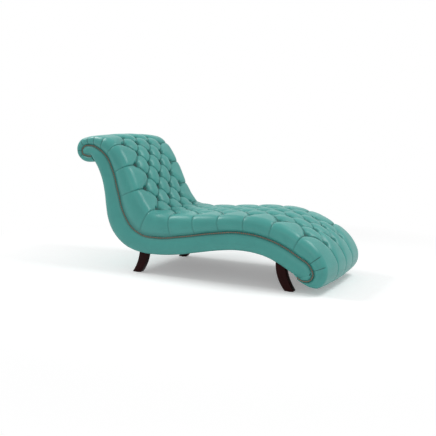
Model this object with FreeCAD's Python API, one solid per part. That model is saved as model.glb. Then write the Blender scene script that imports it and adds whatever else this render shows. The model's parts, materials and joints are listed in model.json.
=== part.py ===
"""Buttoned leather chaise longue with a rolled head and four sabre legs.

Lengths are in millimetres. X runs from the head to the foot, Y across the
seat to the sitter's left, Z up. The floor is at Z = 0.
"""
import FreeCAD, Part
import math
import os

V = FreeCAD.Vector

# Side outline, as points in X and Z joined by tangent arcs. X is measured
# from the floor end of the head legs until the whole part is centred.
DECK_POINTS = [
    (-372, 752), (-420, 754), (-452, 771), (-455, 798), (-430, 824), (-378, 831),
    (-301, 805), (-238, 752), (-192, 661), (-154, 526), (-114, 392), (-52, 301), (26, 258),
    (146, 249), (343, 273), (543, 308), (735, 328), (869, 316), (985, 284),
    (1097, 228), (1194, 158), (1209, 120), (1188, 78), (1150, 69), (1103, 91),
]
CROWN_POINTS = [
    (-341, 720), (-395, 709), (-467, 729), (-505, 793), (-480, 859), (-399, 892),
    (-302, 901), (-208, 883), (-143, 836), (-89, 764), (-43, 684), (-6, 605),
    (33, 528), (70, 470), (118, 429), (200, 418), (350, 422), (540, 434),
    (710, 443), (860, 439), (990, 413), (1105, 365), (1210, 302), (1273, 228),
    (1302, 150), (1288, 77), (1240, 33), (1188, 36), (1145, 57), (1104, 81),
]
BACK_POINTS = [
    (-341, 716), (-313, 668), (-289, 609), (-268, 510), (-260, 430), (-247, 349),
    (-221, 283), (-168, 217), (-79, 161), (30, 136), (147, 134), (298, 148),
    (444, 175), (586, 201), (722, 215), (822, 211), (910, 194), (1009, 152), (1083, 111),
]
FASCIA_LOW_POINTS = [
    (-440, 782), (-433, 773), (-412, 767), (-381, 767), (-367, 759), (-359, 741), (-342, 716),
    (-313, 668), (-289, 609), (-268, 510), (-260, 430), (-247, 349), (-221, 283),
    (-168, 217), (-79, 161), (30, 136), (147, 134), (298, 148), (444, 175),
    (586, 201), (722, 215), (822, 211), (910, 194), (1009, 152), (1080, 113),
    (1118, 98), (1151, 83), (1179, 89), (1195, 120),
]

# Build-up across the width
PANEL_OUTER = 306.0
PANEL_THICK = 18.0
SIDE_REACH = 22.0
PAD_BULGE = 26.0
REST_GAP = 0.3

# Deck layers, as levels below the deck line
FELT_THICK = 5.0
HESSIAN_THICK = 2.0
SPRING_LEVEL = 12.0
SPRING_WIRE = 3.8
SPRING_SWING = 34.0
SPRING_BEND = 20.0
SPRING_TURNS = 11
SPRING_COUNT = 14
SPRING_FIRST = 330.0
SPRING_LAST = 1930.0
CLIP_WIDTH = 14.0
CLIP_LENGTH = 16.0
CLIP_HEIGHT = 9.0
CLIP_FROM_PANEL = 4.0
BATTEN_LEVEL = 18.0
BATTEN_DEPTH = 22.0
BATTEN_THICK = 24.0
TIE_WIRE = 3.0
TIE_WIRE_DROP = 2.2
TIE_WIRE_PLACES = (-96.0, 96.0)
DECK_START = 232.0
DECK_END = 2010.0
SKIN_THICK = 3.0
SKIN_END = 4.0
SKIN_GAP = 1.0
BATTEN_END = 8.0
TIE_REACH = 40.0

# Padding and tufting
FULL_DEPTH = 100.0
COVER_AT_CROWN = 44.0
COVER_SHARE = 0.42
LINING_Y = 290.0
LINING_SLOPE = 36.0
SHOULDER_RADIUS = 55.0
SHOULDER_SHARE = 0.42
SHOULDER_DROP = 14.0
CROWN_DROP = 12.0
SIDE_CROWN = 6.0
BULGE_LEVEL = 0.55
EDGE_STRIP = 6.0
EDGE_LIFT = 5.0
BUTTON_SPACING = 141.0
ROW_COUNT = 21
ROW_LINE_DEPTH = 65.0
FIRST_ROW = 220.4
ROW_PITCH = 88.9
ROLL_LEAD = 74.0
ROLL_FADE = 1.5
BUTTON_DIAMETER = 18.0
BUTTON_HEIGHT = 6.0
BUTTON_WELL = 24.0
BUTTON_GAP = 0.22
THREE_BUTTONS = (-1.0, 0.0, 1.0)
FOUR_BUTTONS = (-1.5, -0.5, 0.5, 1.5)
WELL_RISE = 0.6
PIT_DEPTH = 27.0
PLEAT_DEPTH = 15.0
FOOT_PLEAT_DEPTH = 6.0
FOOT_PLEAT_WIDTH = 8.0
PLAIN_DEPTH = 1.5
TUFT_FADE = 45.0
SIDE_PLEAT_DEPTH = 5.0
HEAD_START = 9.0
PAD_GAP = 1.0
DECK_BOW = 0.5
CROWN_BOW = 1.6
LONGEST_STEP = 70.0

# Fascia and its trim
FASCIA_CROWN = 15.0
FASCIA_EDGE = 3.0
FULL_FASCIA = 80.0
FASCIA_TIP = 3.0
FASCIA_TRIALS = 260
LEATHER = 1.6
TRIM_WIDTH = 10.0
TRIM_THICK = 2.0
TRIM_DROP = 0.4
TRIM_END = 1.0
NAIL_DIAMETER = 9.0
NAIL_HEIGHT = 3.2
NAIL_PITCH = 13.0

# Outer back and underside
BACK_BOARD_THICK = 3.0
BACK_START = 6.0
BACK_COVER_END = 640.0
DUST_COVER_THICK = 0.8
DUST_COVER_GAP = 2.0

# Legs, as three places on each edge from the floor up
HEAD_LEG_OUTER = ((-53, 3), (-15, 68), (8, 190))
HEAD_LEG_INNER = ((7, 3), (47, 70), (68, 190))
FOOT_LEG_OUTER = ((1088, 3), (1047, 76), (1028, 190))
FOOT_LEG_INNER = ((1031, 3), (986, 78), (974, 190))
LEG_THICK = 38.0
LEG_OUTER = 305.5
GLIDE_DIAMETER = 30.0
GLIDE_THICK = 3.0
BOLT_DIAMETER = 8.0
BOLT_IN_LEG = 38.0
BOLT_SPREAD = 16.0
BOLT_FROM_PANEL = 11.0
BLOCK_WIDTH = 56.0
BLOCK_LENGTH = 84.0
BLOCK_HEIGHT = 46.0
BLOCK_LEVEL = 150.0
TEE_NUT_DIAMETER = 20.0
TEE_NUT_BARREL = 11.0
TEE_NUT_LENGTH = 14.0
TEE_NUT_FLANGE = 2.0

# Rails between the panels, as lengths along the outer back and underside
RAILS = {
    "neck_rail": 62.0, "upper_back_rail": 210.0, "middle_back_rail": 360.0,
    "lumbar_rail": 500.0, "middle_seat_rail": 1130.0,
}
RAIL_FROM_BLOCK = 4.0
RAIL_THICK = 25.0
RAIL_MARGIN = 6.0
SCROLL_RAIL_AT = (-410.0, 791.0)
SCROLL_RAIL_RADIUS = 28.0
FOOT_RAIL_AT = (1160.0, 118.0)
FOOT_RAIL_RADIUS = 30.0
SCREW_DIAMETER = 5.0
SCREW_LENGTH = 55.0
SCREW_HEAD = 10.0
SCREW_HEAD_DEPTH = 3.0
SCREW_SPREAD = 18.0
ROUND_RAIL_SPREAD = 9.0
GLUE_BLOCK = 30.0

# Search for facing places on two curves
PAIR_REACH = 160.0
PAIR_STEPS = 40
PAIR_LEAST = 1.0

PANEL_INNER = PANEL_OUTER - PANEL_THICK


class ArcSpline:
    """A smooth plane curve of tangent arcs through a few points, measured by length."""

    def __init__(self, points):
        self.arcs = []
        headings = self._headings(points)
        for first, second, start, end in zip(points, points[1:], headings, headings[1:]):
            self._add_pair(first, second, start, end)
        self.starts = [0.0]
        for arc in self.arcs:
            self.starts.append(self.starts[-1] + arc[3])
        self.length = self.starts[-1]

    @staticmethod
    def _headings(points):
        """Heading at each point, from the circle through it and its neighbours."""
        headings = []
        last = len(points) - 1
        for index in range(last + 1):
            middle = min(max(index, 1), last - 1)
            a, b, c = points[middle - 1], points[middle], points[middle + 1]
            first = math.atan2(b[1] - a[1], b[0] - a[0])
            second = math.atan2(c[1] - b[1], c[0] - b[0])
            turn = (second - first + math.pi) % (2 * math.pi) - math.pi
            share = math.dist(a, b) / (math.dist(a, b) + math.dist(b, c))
            if index == 0:
                headings.append(first - turn * share)
            elif index == last:
                headings.append(second + turn * (1 - share))
            else:
                headings.append(first + turn * share)
        for index in range(1, len(headings)):
            change = headings[index] - headings[index - 1] + math.pi
            headings[index] = headings[index - 1] + change % (2 * math.pi) - math.pi
        return headings

    def _add_pair(self, p, q, start, end):
        """Two tangent arcs from p to q with the given headings."""
        tx, tz = math.cos(start), math.sin(start)
        ux, uz = math.cos(end), math.sin(end)
        vx, vz = q[0] - p[0], q[1] - p[1]
        along = vx * (tx + ux) + vz * (tz + uz)
        spread = 2 * (1 - (tx * ux + tz * uz))
        square = vx * vx + vz * vz
        if spread < 1e-9:
            reach = square / (2 * along)
        else:
            reach = (-along + math.sqrt(along * along + spread * square)) / spread
        joint = ((p[0] + q[0] + reach * (tx - ux)) / 2, (p[1] + q[1] + reach * (tz - uz)) / 2)
        self._add_arc(p, joint, start)
        middle = self.arcs[-1][2] + self.arcs[-1][3] * self.arcs[-1][4]
        self._add_arc(joint, q, middle)

    def _add_arc(self, p, q, heading):
        """One arc from p to q that leaves p along heading."""
        chord = math.dist(p, q)
        angle = math.atan2(q[1] - p[1], q[0] - p[0]) - heading
        angle = (angle + math.pi) % (2 * math.pi) - math.pi
        if abs(angle) < 1e-7:
            self.arcs.append((p[0], p[1], heading, chord, 0.0))
            return
        curvature = 2 * math.sin(angle) / chord
        self.arcs.append((p[0], p[1], heading, 2 * angle / curvature, curvature))

    def at(self, distance, offset=0.0):
        """Point and heading at a length along the curve, offset to its left."""
        index = 0
        while index < len(self.arcs) - 1 and distance > self.starts[index + 1]:
            index += 1
        x, z, heading, _, curvature = self.arcs[index]
        run = distance - self.starts[index]
        turned = heading + run * curvature
        if abs(curvature) < 1e-12:
            x += run * math.cos(heading)
            z += run * math.sin(heading)
        else:
            x += (math.sin(turned) - math.sin(heading)) / curvature
            z += (math.cos(heading) - math.cos(turned)) / curvature
        return x - offset * math.sin(turned), z + offset * math.cos(turned), turned

    def edges(self, start, end, offset, y):
        """Arcs and lines of the curve from start to end, offset to its left, at one Y."""
        cuts = [start]
        for mark in self.starts:
            if start + 0.5 < mark < end - 0.5:
                cuts.append(mark)
        cuts.append(end)
        found = []
        for low, high in zip(cuts, cuts[1:]):
            spots = []
            for step in (low, (low + high) / 2, high):
                x, z, _ = self.at(step, offset)
                spots.append(V(x, y, z))
            bow = (spots[0] + spots[2]) * 0.5 - spots[1]
            if bow.Length < 1e-4:
                found.append(Part.LineSegment(spots[0], spots[2]).toShape())
            else:
                found.append(Part.Arc(*spots).toShape())
        return found

    def nearest(self, x, z):
        """Length along the curve at its point nearest to x, z."""
        best = min(range(0, int(self.length)), key=lambda d: math.dist(self.at(d)[:2], (x, z)))
        return float(best)


def face_lengths(lower, upper, marks, low=0.0, offset=0.0):
    """Lengths on the lower curve that face the marks on the upper one.

    A pair leans alike to both curves, so the sections fan evenly round a bend.
    """
    found = []
    for mark in marks:
        ux, uz, upper_heading = upper.at(mark)
        start, end = low, min(low + PAIR_REACH, lower.length)
        for _ in range(PAIR_STEPS):
            middle = (start + end) / 2
            lx, lz, heading = lower.at(middle, offset)
            along_x = math.cos(heading) + math.cos(upper_heading)
            along_z = math.sin(heading) + math.sin(upper_heading)
            if (ux - lx) * along_x + (uz - lz) * along_z > 0:
                start = middle
            else:
                end = middle
        low = max((start + end) / 2, low + PAIR_LEAST)
        found.append(min(low, lower.length))
    return found


def blend(first, second, share):
    """Value between two, at a share of the way."""
    return first + (second - first) * share


class Section:
    """A cut across the chaise: depth is measured from one curve towards another."""

    def __init__(self, foot, head):
        self.x, self.z = foot[0], foot[1]
        self.depth = math.dist(foot[:2], head[:2])
        self.up_x = (head[0] - foot[0]) / self.depth
        self.up_z = (head[1] - foot[1]) / self.depth

    def spot(self, y, h):
        """The point at width y and depth h."""
        return V(self.x + self.up_x * h, y, self.z + self.up_z * h)

    def up(self):
        """Unit vector along the depth."""
        return V(self.up_x, 0, self.up_z)

    def along(self):
        """Unit vector from the head to the foot, square to the depth."""
        return V(self.up_z, 0, -self.up_x)

    def line(self, start, end):
        """Straight edge between two (y, h) places."""
        return Part.LineSegment(self.spot(*start), self.spot(*end)).toShape()

    def arc(self, start, middle, end):
        """Arc through three (y, h) places."""
        return Part.Arc(self.spot(*start), self.spot(*middle), self.spot(*end)).toShape()


def loft(wires):
    """Ruled solid through closed wires."""
    return Part.makeLoft(wires, True, True)


def strip(curve, start, end, low, high, y_from, y_to):
    """Band between two offsets of a curve, drawn across the width."""
    first = curve.edges(start, end, low, y_from)
    second = curve.edges(start, end, high, y_from)
    closing = [
        Part.LineSegment(corner(first, False), corner(second, False)).toShape(),
        Part.LineSegment(corner(second, True), corner(first, True)).toShape(),
    ]
    wire = Part.Wire(Part.__sortEdges__(first + second + closing))
    return Part.Face(wire).extrude(V(0, y_to - y_from, 0))


def corner(edges, at_start):
    """First or last point of a chain of edges."""
    if at_start:
        return edges[0].valueAt(edges[0].FirstParameter)
    return edges[-1].valueAt(edges[-1].LastParameter)


def mirrored(shape):
    """The same shape on the other side."""
    return shape.mirror(V(0, 0, 0), V(0, 1, 0))


def both_sides(parts, name, shape):
    """Adds a left piece and its mirror image on the right."""
    parts[name + "_left"] = shape
    parts[name + "_right"] = mirrored(shape)


def dome(diameter, height, base, direction):
    """A spherical cap on a flat base."""
    radius = (diameter ** 2 / 4 + height ** 2) / (2 * height)
    rise = math.degrees(math.asin((radius - height) / radius))
    return Part.makeSphere(radius, base - direction * (radius - height), direction, rise, 90, 360)


def row_places():
    """Lengths along the crown at which the button rows lie.

    The rows are evenly spaced along a line some way under the crown, so on the
    crown they open out over its humps and close up in its hollow. The head's
    roll pushes the first few rows down the back.
    """
    places = []
    turned = CROWN.at(0)[2]
    for row in range(ROW_COUNT):
        wanted = FIRST_ROW + row * ROW_PITCH + ROLL_LEAD * math.exp(-row / ROLL_FADE)
        start, end = 0.0, CROWN.length
        for _ in range(PAIR_STEPS):
            middle = (start + end) / 2
            if middle + ROW_LINE_DEPTH * (CROWN.at(middle)[2] - turned) < wanted:
                start = middle
            else:
                end = middle
        places.append((start + end) / 2)
    return places


class Tufting:
    """Where the buttons, pleats and crowns of the pad stand at a length along its crown."""

    def __init__(self, mark):
        places = row_places()
        half_well = BUTTON_WELL / 2
        row = min(range(ROW_COUNT), key=lambda index: abs(mark - places[index]))
        clear = max(abs(mark - places[row]) - half_well, 0)
        other = row + 1 if mark > places[row] else row - 1
        share = 0.0
        if 0 <= other < ROW_COUNT:
            share = clear / (abs(places[other] - places[row]) - BUTTON_WELL)
        self.three = 1 - share if row % 2 == 0 else share
        self.well = half_well
        self.pit = PIT_DEPTH
        self.pleat = blend(PIT_DEPTH, PLEAT_DEPTH, min(2 * share, 1))
        if clear > 0 and not 0 <= other < ROW_COUNT:
            fade = min(clear / TUFT_FADE, 1)
            plain = FOOT_PLEAT_DEPTH if other > row else PLAIN_DEPTH
            self.pit = self.pleat = blend(PIT_DEPTH, plain, fade)
            self.well = blend(half_well, FOOT_PLEAT_WIDTH / 2, fade)

    def pleats(self):
        """Y of the pleats on one side, from the middle outwards."""
        half = BUTTON_SPACING / 2
        return [
            blend(half - self.well, self.well, self.three),
            blend(half + self.well, 2 * half - self.well, self.three),
            blend(3 * half - self.well, 2 * half + self.well, self.three),
            blend(3 * half + self.well, 2 * half + self.well + EDGE_STRIP, self.three),
        ]

    def hollow(self, crown_share):
        """How far a cell's middle lies under the crown."""
        return (self.pit - WELL_RISE) * (1 - crown_share) ** 2


def crown_fall(y, scale):
    """How far the crown falls away from the middle of the pad."""
    return CROWN_DROP * scale * (y / PANEL_OUTER) ** 2


def cover_section(section, mark, side_pleat):
    """Closed outline of the buttoned cover: over the pad and back along its lining."""
    tuft = Tufting(mark)
    depth = section.depth
    scale = min(depth / FULL_DEPTH, 1)
    draw = side_pleat * scale
    shoulder = min(SHOULDER_RADIUS, SHOULDER_SHARE * depth)
    side_y = PANEL_OUTER + SIDE_REACH * scale - draw
    bulge_y = PANEL_OUTER + PAD_BULGE * scale - draw
    side_top = depth - SHOULDER_DROP * scale - draw
    side_low = side_top - shoulder
    slant = shoulder * (1 - math.sqrt(0.5))
    inner, second, third, outer = tuft.pleats()

    def pleat(y, extra=0.0):
        """Place of a pleat's bottom."""
        return (y, depth - crown_fall(y, scale) - tuft.pleat * scale + extra)

    def cell(low_y, high_y, share):
        """Place of the crown between two pleats."""
        middle = (low_y + high_y) / 2
        return (middle, depth - crown_fall(middle, scale) - tuft.hollow(share) * scale)

    edge = pleat(outer, EDGE_LIFT * tuft.three * scale)
    shoulder_end = (side_y - shoulder, side_top)
    top_middle = (outer + shoulder_end[0]) / 2
    top_bow = (edge[1] + side_top) / 2 + SIDE_CROWN * scale - draw
    right = [
        section.arc(pleat(inner), cell(inner, second, tuft.three), pleat(second)),
        section.arc(pleat(second), cell(second, third, 1 - tuft.three), pleat(third)),
        section.arc(pleat(third), strip_middle(pleat(third), edge), edge),
        section.arc(edge, (top_middle, top_bow), shoulder_end),
        section.arc(shoulder_end, (side_y - slant, side_top - slant), (side_y, side_low)),
        section.arc((side_y, side_low), (bulge_y, side_low * BULGE_LEVEL), (PANEL_OUTER, PAD_GAP)),
        section.line((PANEL_OUTER, PAD_GAP), (LINING_Y, PAD_GAP)),
    ]
    lining = lining_places(section, COVER_AT_CROWN)
    right += [section.line(a, b) for a, b in zip(lining, lining[1:])]
    middle_arc = section.arc(
        (-inner, pleat(inner)[1]), cell(-inner, inner, 1 - tuft.three), pleat(inner))
    left = [mirrored(edge_shape) for edge_shape in right]
    top = lining[-1]
    lining_top = section.line(top, (-top[0], top[1]))
    return Part.Wire(Part.__sortEdges__([middle_arc] + right + [lining_top] + left))


def strip_middle(start, end):
    """A place a little over the middle of a short stretch."""
    return ((start[0] + end[0]) / 2, (start[1] + end[1]) / 2 + WELL_RISE)


def lining_places(section, thickness, gap=0.0):
    """Places of the cover's lining on one side, from the deck up to its top corner."""
    depth = section.depth
    scale = min(depth / FULL_DEPTH, 1)
    top = depth - min(thickness, COVER_SHARE * depth) - gap
    slope = LINING_SLOPE * scale
    y = LINING_Y - gap
    return [(y, PAD_GAP), (y, top - slope), (y - slope, top)]


def row_marks():
    """Lengths along the crown where the tufting changes, with the draw of a side pleat there."""
    marks = [(HEAD_START, 0.0)]
    half_well = BUTTON_WELL / 2
    places = row_places()
    for row, place in enumerate(places):
        if row > 0:
            marks.append(((places[row - 1] + place) / 2, 0.0))
        marks.append((place - half_well, 0.0))
        if row % 2 == 1:
            marks.append((place, SIDE_PLEAT_DEPTH))
        marks.append((place + half_well, 0.0))
    marks.append((marks[-1][0] + TUFT_FADE, 0.0))
    marks.append((CROWN.length, 0.0))
    return marks


def bow(curve, start, end):
    """How far the curve bows from the straight line between two lengths."""
    return abs(curve.at(end)[2] - curve.at(start)[2]) * (end - start) / 8


def cover_marks():
    """The tufting's marks, with more between them wherever the pad bends."""
    marks = row_marks()
    bent = True
    while bent:
        bent = False
        lows = face_lengths(DECK, CROWN, [mark for mark, _ in marks])
        filled = marks[:1]
        for index in range(1, len(marks)):
            start, end = marks[index - 1][0], marks[index][0]
            deck_bow = bow(DECK, lows[index - 1], lows[index])
            crown_bow = bow(CROWN, start, end)
            if deck_bow > DECK_BOW or crown_bow > CROWN_BOW or end - start > LONGEST_STEP:
                filled.append(((start + end) / 2, 0.0))
                bent = True
            filled.append(marks[index])
        marks = filled
    return marks


def pad_sections():
    """Sections of the pad at the marks of its cover."""
    marks = [mark for mark, _ in cover_marks()]
    lows = face_lengths(DECK, CROWN, marks)
    return [Section(DECK.at(low), CROWN.at(mark)) for low, mark in zip(lows, marks)]


def make_cover(sections):
    """Buttoned leather cover with the fibre quilted to its back."""
    wires = []
    for section, (mark, pleat) in zip(sections, cover_marks()):
        wires.append(cover_section(section, mark, pleat))
    return loft(wires)


def make_foam(sections):
    """Foam core under the cover."""
    wires = []
    for section in sections:
        side = lining_places(section, COVER_AT_CROWN, REST_GAP)
        places = side + [(-y, h) for y, h in reversed(side)]
        wires.append(Part.makePolygon([section.spot(*place) for place in places + places[:1]]))
    return loft(wires)


def well_floor(section, y):
    """Place on the floor of a button's well."""
    scale = min(section.depth / FULL_DEPTH, 1)
    return section.spot(y, section.depth - crown_fall(y, scale) - (PIT_DEPTH - WELL_RISE) * scale)


def make_buttons(sections):
    """Leather buttons sunk in the pits."""
    marks = [mark for mark, _ in cover_marks()]
    reach = BUTTON_WELL / 2 + WELL_RISE
    buttons = []
    for row, place in enumerate(row_places()):
        inside = [section for section, mark in zip(sections, marks) if abs(mark - place) < reach]
        columns = THREE_BUTTONS if row % 2 == 0 else FOUR_BUTTONS
        for column in columns:
            floors = [well_floor(section, column * BUTTON_SPACING) for section in inside]
            middle = (floors[0] + floors[-1]) * 0.5
            along = (floors[-1] - floors[0]).normalize()
            up = V(-along.z, 0, along.x)
            rise = max((floor - middle).dot(up) for floor in floors)
            buttons.append(
                dome(BUTTON_DIAMETER, BUTTON_HEIGHT, middle + up * (rise + BUTTON_GAP), up))
    return Part.makeCompound(buttons)


def make_panel():
    """Plywood side panel between the deck line and the outer back and underside."""
    y = PANEL_OUTER - PANEL_THICK
    deck = DECK.edges(0, DECK.length, 0, y)
    back = BACK.edges(0, BACK.length, 0, y)
    closing = [
        Part.LineSegment(corner(deck, False), corner(back, False)).toShape(),
        Part.LineSegment(corner(back, True), corner(deck, True)).toShape(),
    ]
    wire = Part.Wire(Part.__sortEdges__(deck + back + closing))
    return Part.Face(wire).extrude(V(0, PANEL_THICK, 0))


def fascia_sections():
    """Sections across the fascia band, from the scroll to the foot tip, closer where it bends."""
    start = DECK.nearest(*FASCIA_LOW.at(0)[:2])
    inset = -TRIM_WIDTH - PAD_GAP
    end = FASCIA_LOW.length - FASCIA_TIP
    trial = [blend(FASCIA_TIP, end, step / FASCIA_TRIALS) for step in range(FASCIA_TRIALS + 1)]
    lows = face_lengths(DECK, FASCIA_LOW, trial, start, inset)
    marks = [0]
    for index in range(1, FASCIA_TRIALS + 1):
        last = marks[-1]
        ahead = min(index + 1, FASCIA_TRIALS)
        bent = max(bow(DECK, lows[last], lows[ahead]), bow(FASCIA_LOW, trial[last], trial[ahead]))
        if bent > DECK_BOW or trial[ahead] - trial[last] > LONGEST_STEP or index == FASCIA_TRIALS:
            marks.append(index)
    return [
        Section(DECK.at(lows[index], inset), FASCIA_LOW.at(trial[index])) for index in marks]


def fascia_arc(section, base):
    """Arc over the fascia band from edge to edge."""
    width = section.depth
    crown = FASCIA_CROWN * min(width / FULL_FASCIA, 1)
    spots = [section.spot(base, 0), section.spot(base + crown, width / 2), section.spot(base, width)]
    return Part.Arc(*spots).toShape()


def make_fascia_pad(sections):
    """Cotton padding of the fascia, crowned over the panel."""
    wires = []
    for section in sections:
        low = PANEL_OUTER
        high = PANEL_OUTER + FASCIA_EDGE
        width = section.depth
        edges = [
            fascia_arc(section, high),
            section.line((low, 0), (low, width)),
            section.line((low, 0), (high, 0)),
            section.line((low, width), (high, width)),
        ]
        wires.append(Part.Wire(Part.__sortEdges__(edges)))
    return loft(wires)


def make_fascia_leather(sections):
    """Leather drawn over the fascia padding."""
    wires = []
    for section in sections:
        low = PANEL_OUTER + FASCIA_EDGE + REST_GAP
        high = low + LEATHER
        width = section.depth
        edges = [
            fascia_arc(section, high),
            fascia_arc(section, low),
            section.line((low, 0), (high, 0)),
            section.line((low, width), (high, width)),
        ]
        wires.append(Part.Wire(Part.__sortEdges__(edges)))
    return loft(wires)


def make_nails():
    """Row of domed nails along the trim."""
    first = dome(NAIL_DIAMETER, NAIL_HEIGHT, V(0, 0, 0), V(0, 1, 0))
    count = round(DECK.length / NAIL_PITCH)
    nails = []
    for index in range(count):
        x, z, _ = DECK.at((index + 0.5) * DECK.length / count, -TRIM_WIDTH / 2)
        nail = first.copy()
        nail.translate(V(x, PANEL_OUTER + TRIM_THICK, z))
        nails.append(nail)
    return Part.makeCompound(nails)


def spring_places():
    """Lengths along the deck at which the springs cross."""
    step = (SPRING_LAST - SPRING_FIRST) / (SPRING_COUNT - 1)
    return [SPRING_FIRST + step * index for index in range(SPRING_COUNT)]


def spring_path(mark):
    """Centre line of one sinuous spring, straight at both ends for its clips."""
    x, z, heading = DECK.at(mark, -SPRING_LEVEL)
    half = math.sqrt(0.5)
    reach = SPRING_SWING - SPRING_BEND

    def spot(y, t):
        return V(x + t * math.cos(heading), y, z + t * math.sin(heading))

    def line(start, end):
        return Part.LineSegment(spot(*start), spot(*end)).toShape()

    def arc(start, middle, end):
        return Part.Arc(spot(*start), spot(*middle), spot(*end)).toShape()

    bend = SPRING_BEND
    tail = PANEL_INNER - CLIP_FROM_PANEL
    y = -bend * (SPRING_TURNS + 1)
    edges = [
        line((-tail, 0), (y, 0)),
        arc((y, 0), (y + bend * half, bend * (1 - half)), (y + bend, bend)),
    ]
    y += bend
    level = bend
    side = 1
    for _ in range(SPRING_TURNS):
        edges.append(line((y, level), (y, side * reach)))
        edges.append(arc(
            (y, side * reach), (y + bend, side * SPRING_SWING), (y + 2 * bend, side * reach)))
        y += 2 * bend
        level = side * reach
        side = -side
    edges.append(line((y, level), (y, -side * bend)))
    edges.append(arc(
        (y, -side * bend), (y + bend * (1 - half), -side * bend * (1 - half)), (y + bend, 0)))
    edges.append(line((y + bend, 0), (tail, 0)))
    return Part.Wire(edges)


def make_springs():
    """Sinuous springs from side to side."""
    springs = []
    for mark in spring_places():
        path = spring_path(mark)
        start = corner(path.Edges, True)
        ring = Part.Wire(Part.makeCircle(SPRING_WIRE / 2, start, V(0, 1, 0)))
        springs.append(path.makePipeShell([ring], True, False))
    return Part.makeCompound(springs)


def make_clips():
    """Steel clips that hold the spring ends on the battens."""
    clips = []
    for mark in spring_places():
        x, z, heading = DECK.at(mark, -SPRING_LEVEL)
        low = SPRING_LEVEL - BATTEN_LEVEL + REST_GAP
        block = Part.makeBox(CLIP_WIDTH, CLIP_LENGTH, CLIP_HEIGHT, V(-CLIP_WIDTH / 2, 0, low))
        wire = Part.makeCylinder(SPRING_WIRE / 2, CLIP_LENGTH, V(0, 0, 0), V(0, 1, 0))
        clip = block.cut(wire)
        clip.rotate(V(0, 0, 0), V(0, -1, 0), math.degrees(heading))
        for y in (PANEL_INNER - CLIP_FROM_PANEL - CLIP_LENGTH, -PANEL_INNER + CLIP_FROM_PANEL):
            placed = clip.copy()
            placed.translate(V(x, y, z))
            clips.append(placed)
    return Part.makeCompound(clips)


def deck_band(start, end, low, high, half_width):
    """A layer under the deck line, as wide as given on both sides."""
    return strip(DECK, start, end, -low, -high, -half_width, half_width)


def block_place(outer, inner):
    """Length along the underside at which a leg and its block are centred."""
    return BACK.nearest((outer[2][0] + inner[2][0]) / 2, BLOCK_LEVEL)


def rail_sections():
    """Name and section of each flat rail, from the outer back towards the deck."""
    beside = BLOCK_LENGTH / 2 + RAIL_THICK / 2 + RAIL_FROM_BLOCK
    marks = dict(RAILS)
    marks["head_seat_rail"] = block_place(HEAD_LEG_OUTER, HEAD_LEG_INNER) + beside
    marks["foot_seat_rail"] = block_place(FOOT_LEG_OUTER, FOOT_LEG_INNER) - beside
    found = {}
    for name, mark in marks.items():
        foot = BACK.at(mark)
        found[name] = Section(foot, DECK.at(DECK.nearest(*foot[:2])))
    return found


def placed_box(section, along, y, low, long, wide, high):
    """A box square to a section, centred along the chaise at a distance from it."""
    box = Part.makeBox(long, wide, high, V(-long / 2, 0, 0))
    angle = math.degrees(math.atan2(section.up_x, section.up_z))
    box.rotate(V(0, 0, 0), V(0, 1, 0), angle)
    box.translate(section.spot(y, low) + section.along() * along)
    return box


def rail_span(section):
    """Lower and upper level of a rail within the band."""
    return RAIL_MARGIN, section.depth - BATTEN_LEVEL - BATTEN_DEPTH - REST_GAP


def make_rail(section):
    """A hardwood rail from panel to panel."""
    low, high = rail_span(section)
    return placed_box(section, 0, -PANEL_INNER, low, RAIL_THICK, 2 * PANEL_INNER, high - low)


def make_screw(spot):
    """A countersunk screw driven inwards from a spot on the left panel's face."""
    shank = Part.makeCylinder(SCREW_DIAMETER / 2, SCREW_LENGTH, spot, V(0, -1, 0))
    head = Part.makeCone(SCREW_HEAD / 2, SCREW_DIAMETER / 2, SCREW_HEAD_DEPTH, spot, V(0, -1, 0))
    return shank.fuse(head).removeSplitter()


def rail_screws(section):
    """Screws through the left panel into the rail's end."""
    low, high = rail_span(section)
    middle = (low + high) / 2
    steps = (-SCREW_SPREAD, SCREW_SPREAD)
    return [make_screw(section.spot(PANEL_OUTER, middle + step)) for step in steps]


def make_glue_block(section, side):
    """A corner block between a rail and the left panel."""
    low, high = rail_span(section)
    middle = (low + high) / 2
    near = RAIL_THICK / 2 * side
    far = (RAIL_THICK / 2 + GLUE_BLOCK) * side
    corners = [(near, PANEL_INNER), (far, PANEL_INNER), (near, PANEL_INNER - GLUE_BLOCK)]
    spots = []
    for along, y in corners:
        spots.append(section.spot(y, middle - GLUE_BLOCK / 2) + section.along() * along)
    face = Part.Face(Part.makePolygon(spots + spots[:1]))
    return face.extrude(section.up() * GLUE_BLOCK)


def under_back(depth):
    """Everything below the underside curve, down to the given level."""
    edges = BACK.edges(0, BACK.length, -REST_GAP, -LEG_OUTER)
    first, last = corner(edges, True), corner(edges, False)
    low_last = V(last.x, last.y, depth)
    low_first = V(first.x, first.y, depth)
    closing = Part.makePolygon([last, low_last, low_first, first]).Edges
    wire = Part.Wire(Part.__sortEdges__(edges + closing))
    return Part.Face(wire).extrude(V(0, 2 * LEG_OUTER, 0))


def make_leg(outer, inner):
    """A sabre leg on the left, curved along the chaise."""
    y = LEG_OUTER - LEG_THICK
    low_outer, high_outer = V(outer[0][0], y, outer[0][1]), V(outer[2][0], y, outer[2][1])
    low_inner, high_inner = V(inner[0][0], y, inner[0][1]), V(inner[2][0], y, inner[2][1])
    edges = [
        Part.Arc(low_outer, V(outer[1][0], y, outer[1][1]), high_outer).toShape(),
        Part.LineSegment(high_outer, high_inner).toShape(),
        Part.Arc(high_inner, V(inner[1][0], y, inner[1][1]), low_inner).toShape(),
        Part.LineSegment(low_inner, low_outer).toShape(),
    ]
    leg = Part.Face(Part.Wire(edges)).extrude(V(0, LEG_THICK, 0))
    return leg.common(under_back(0))


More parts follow.
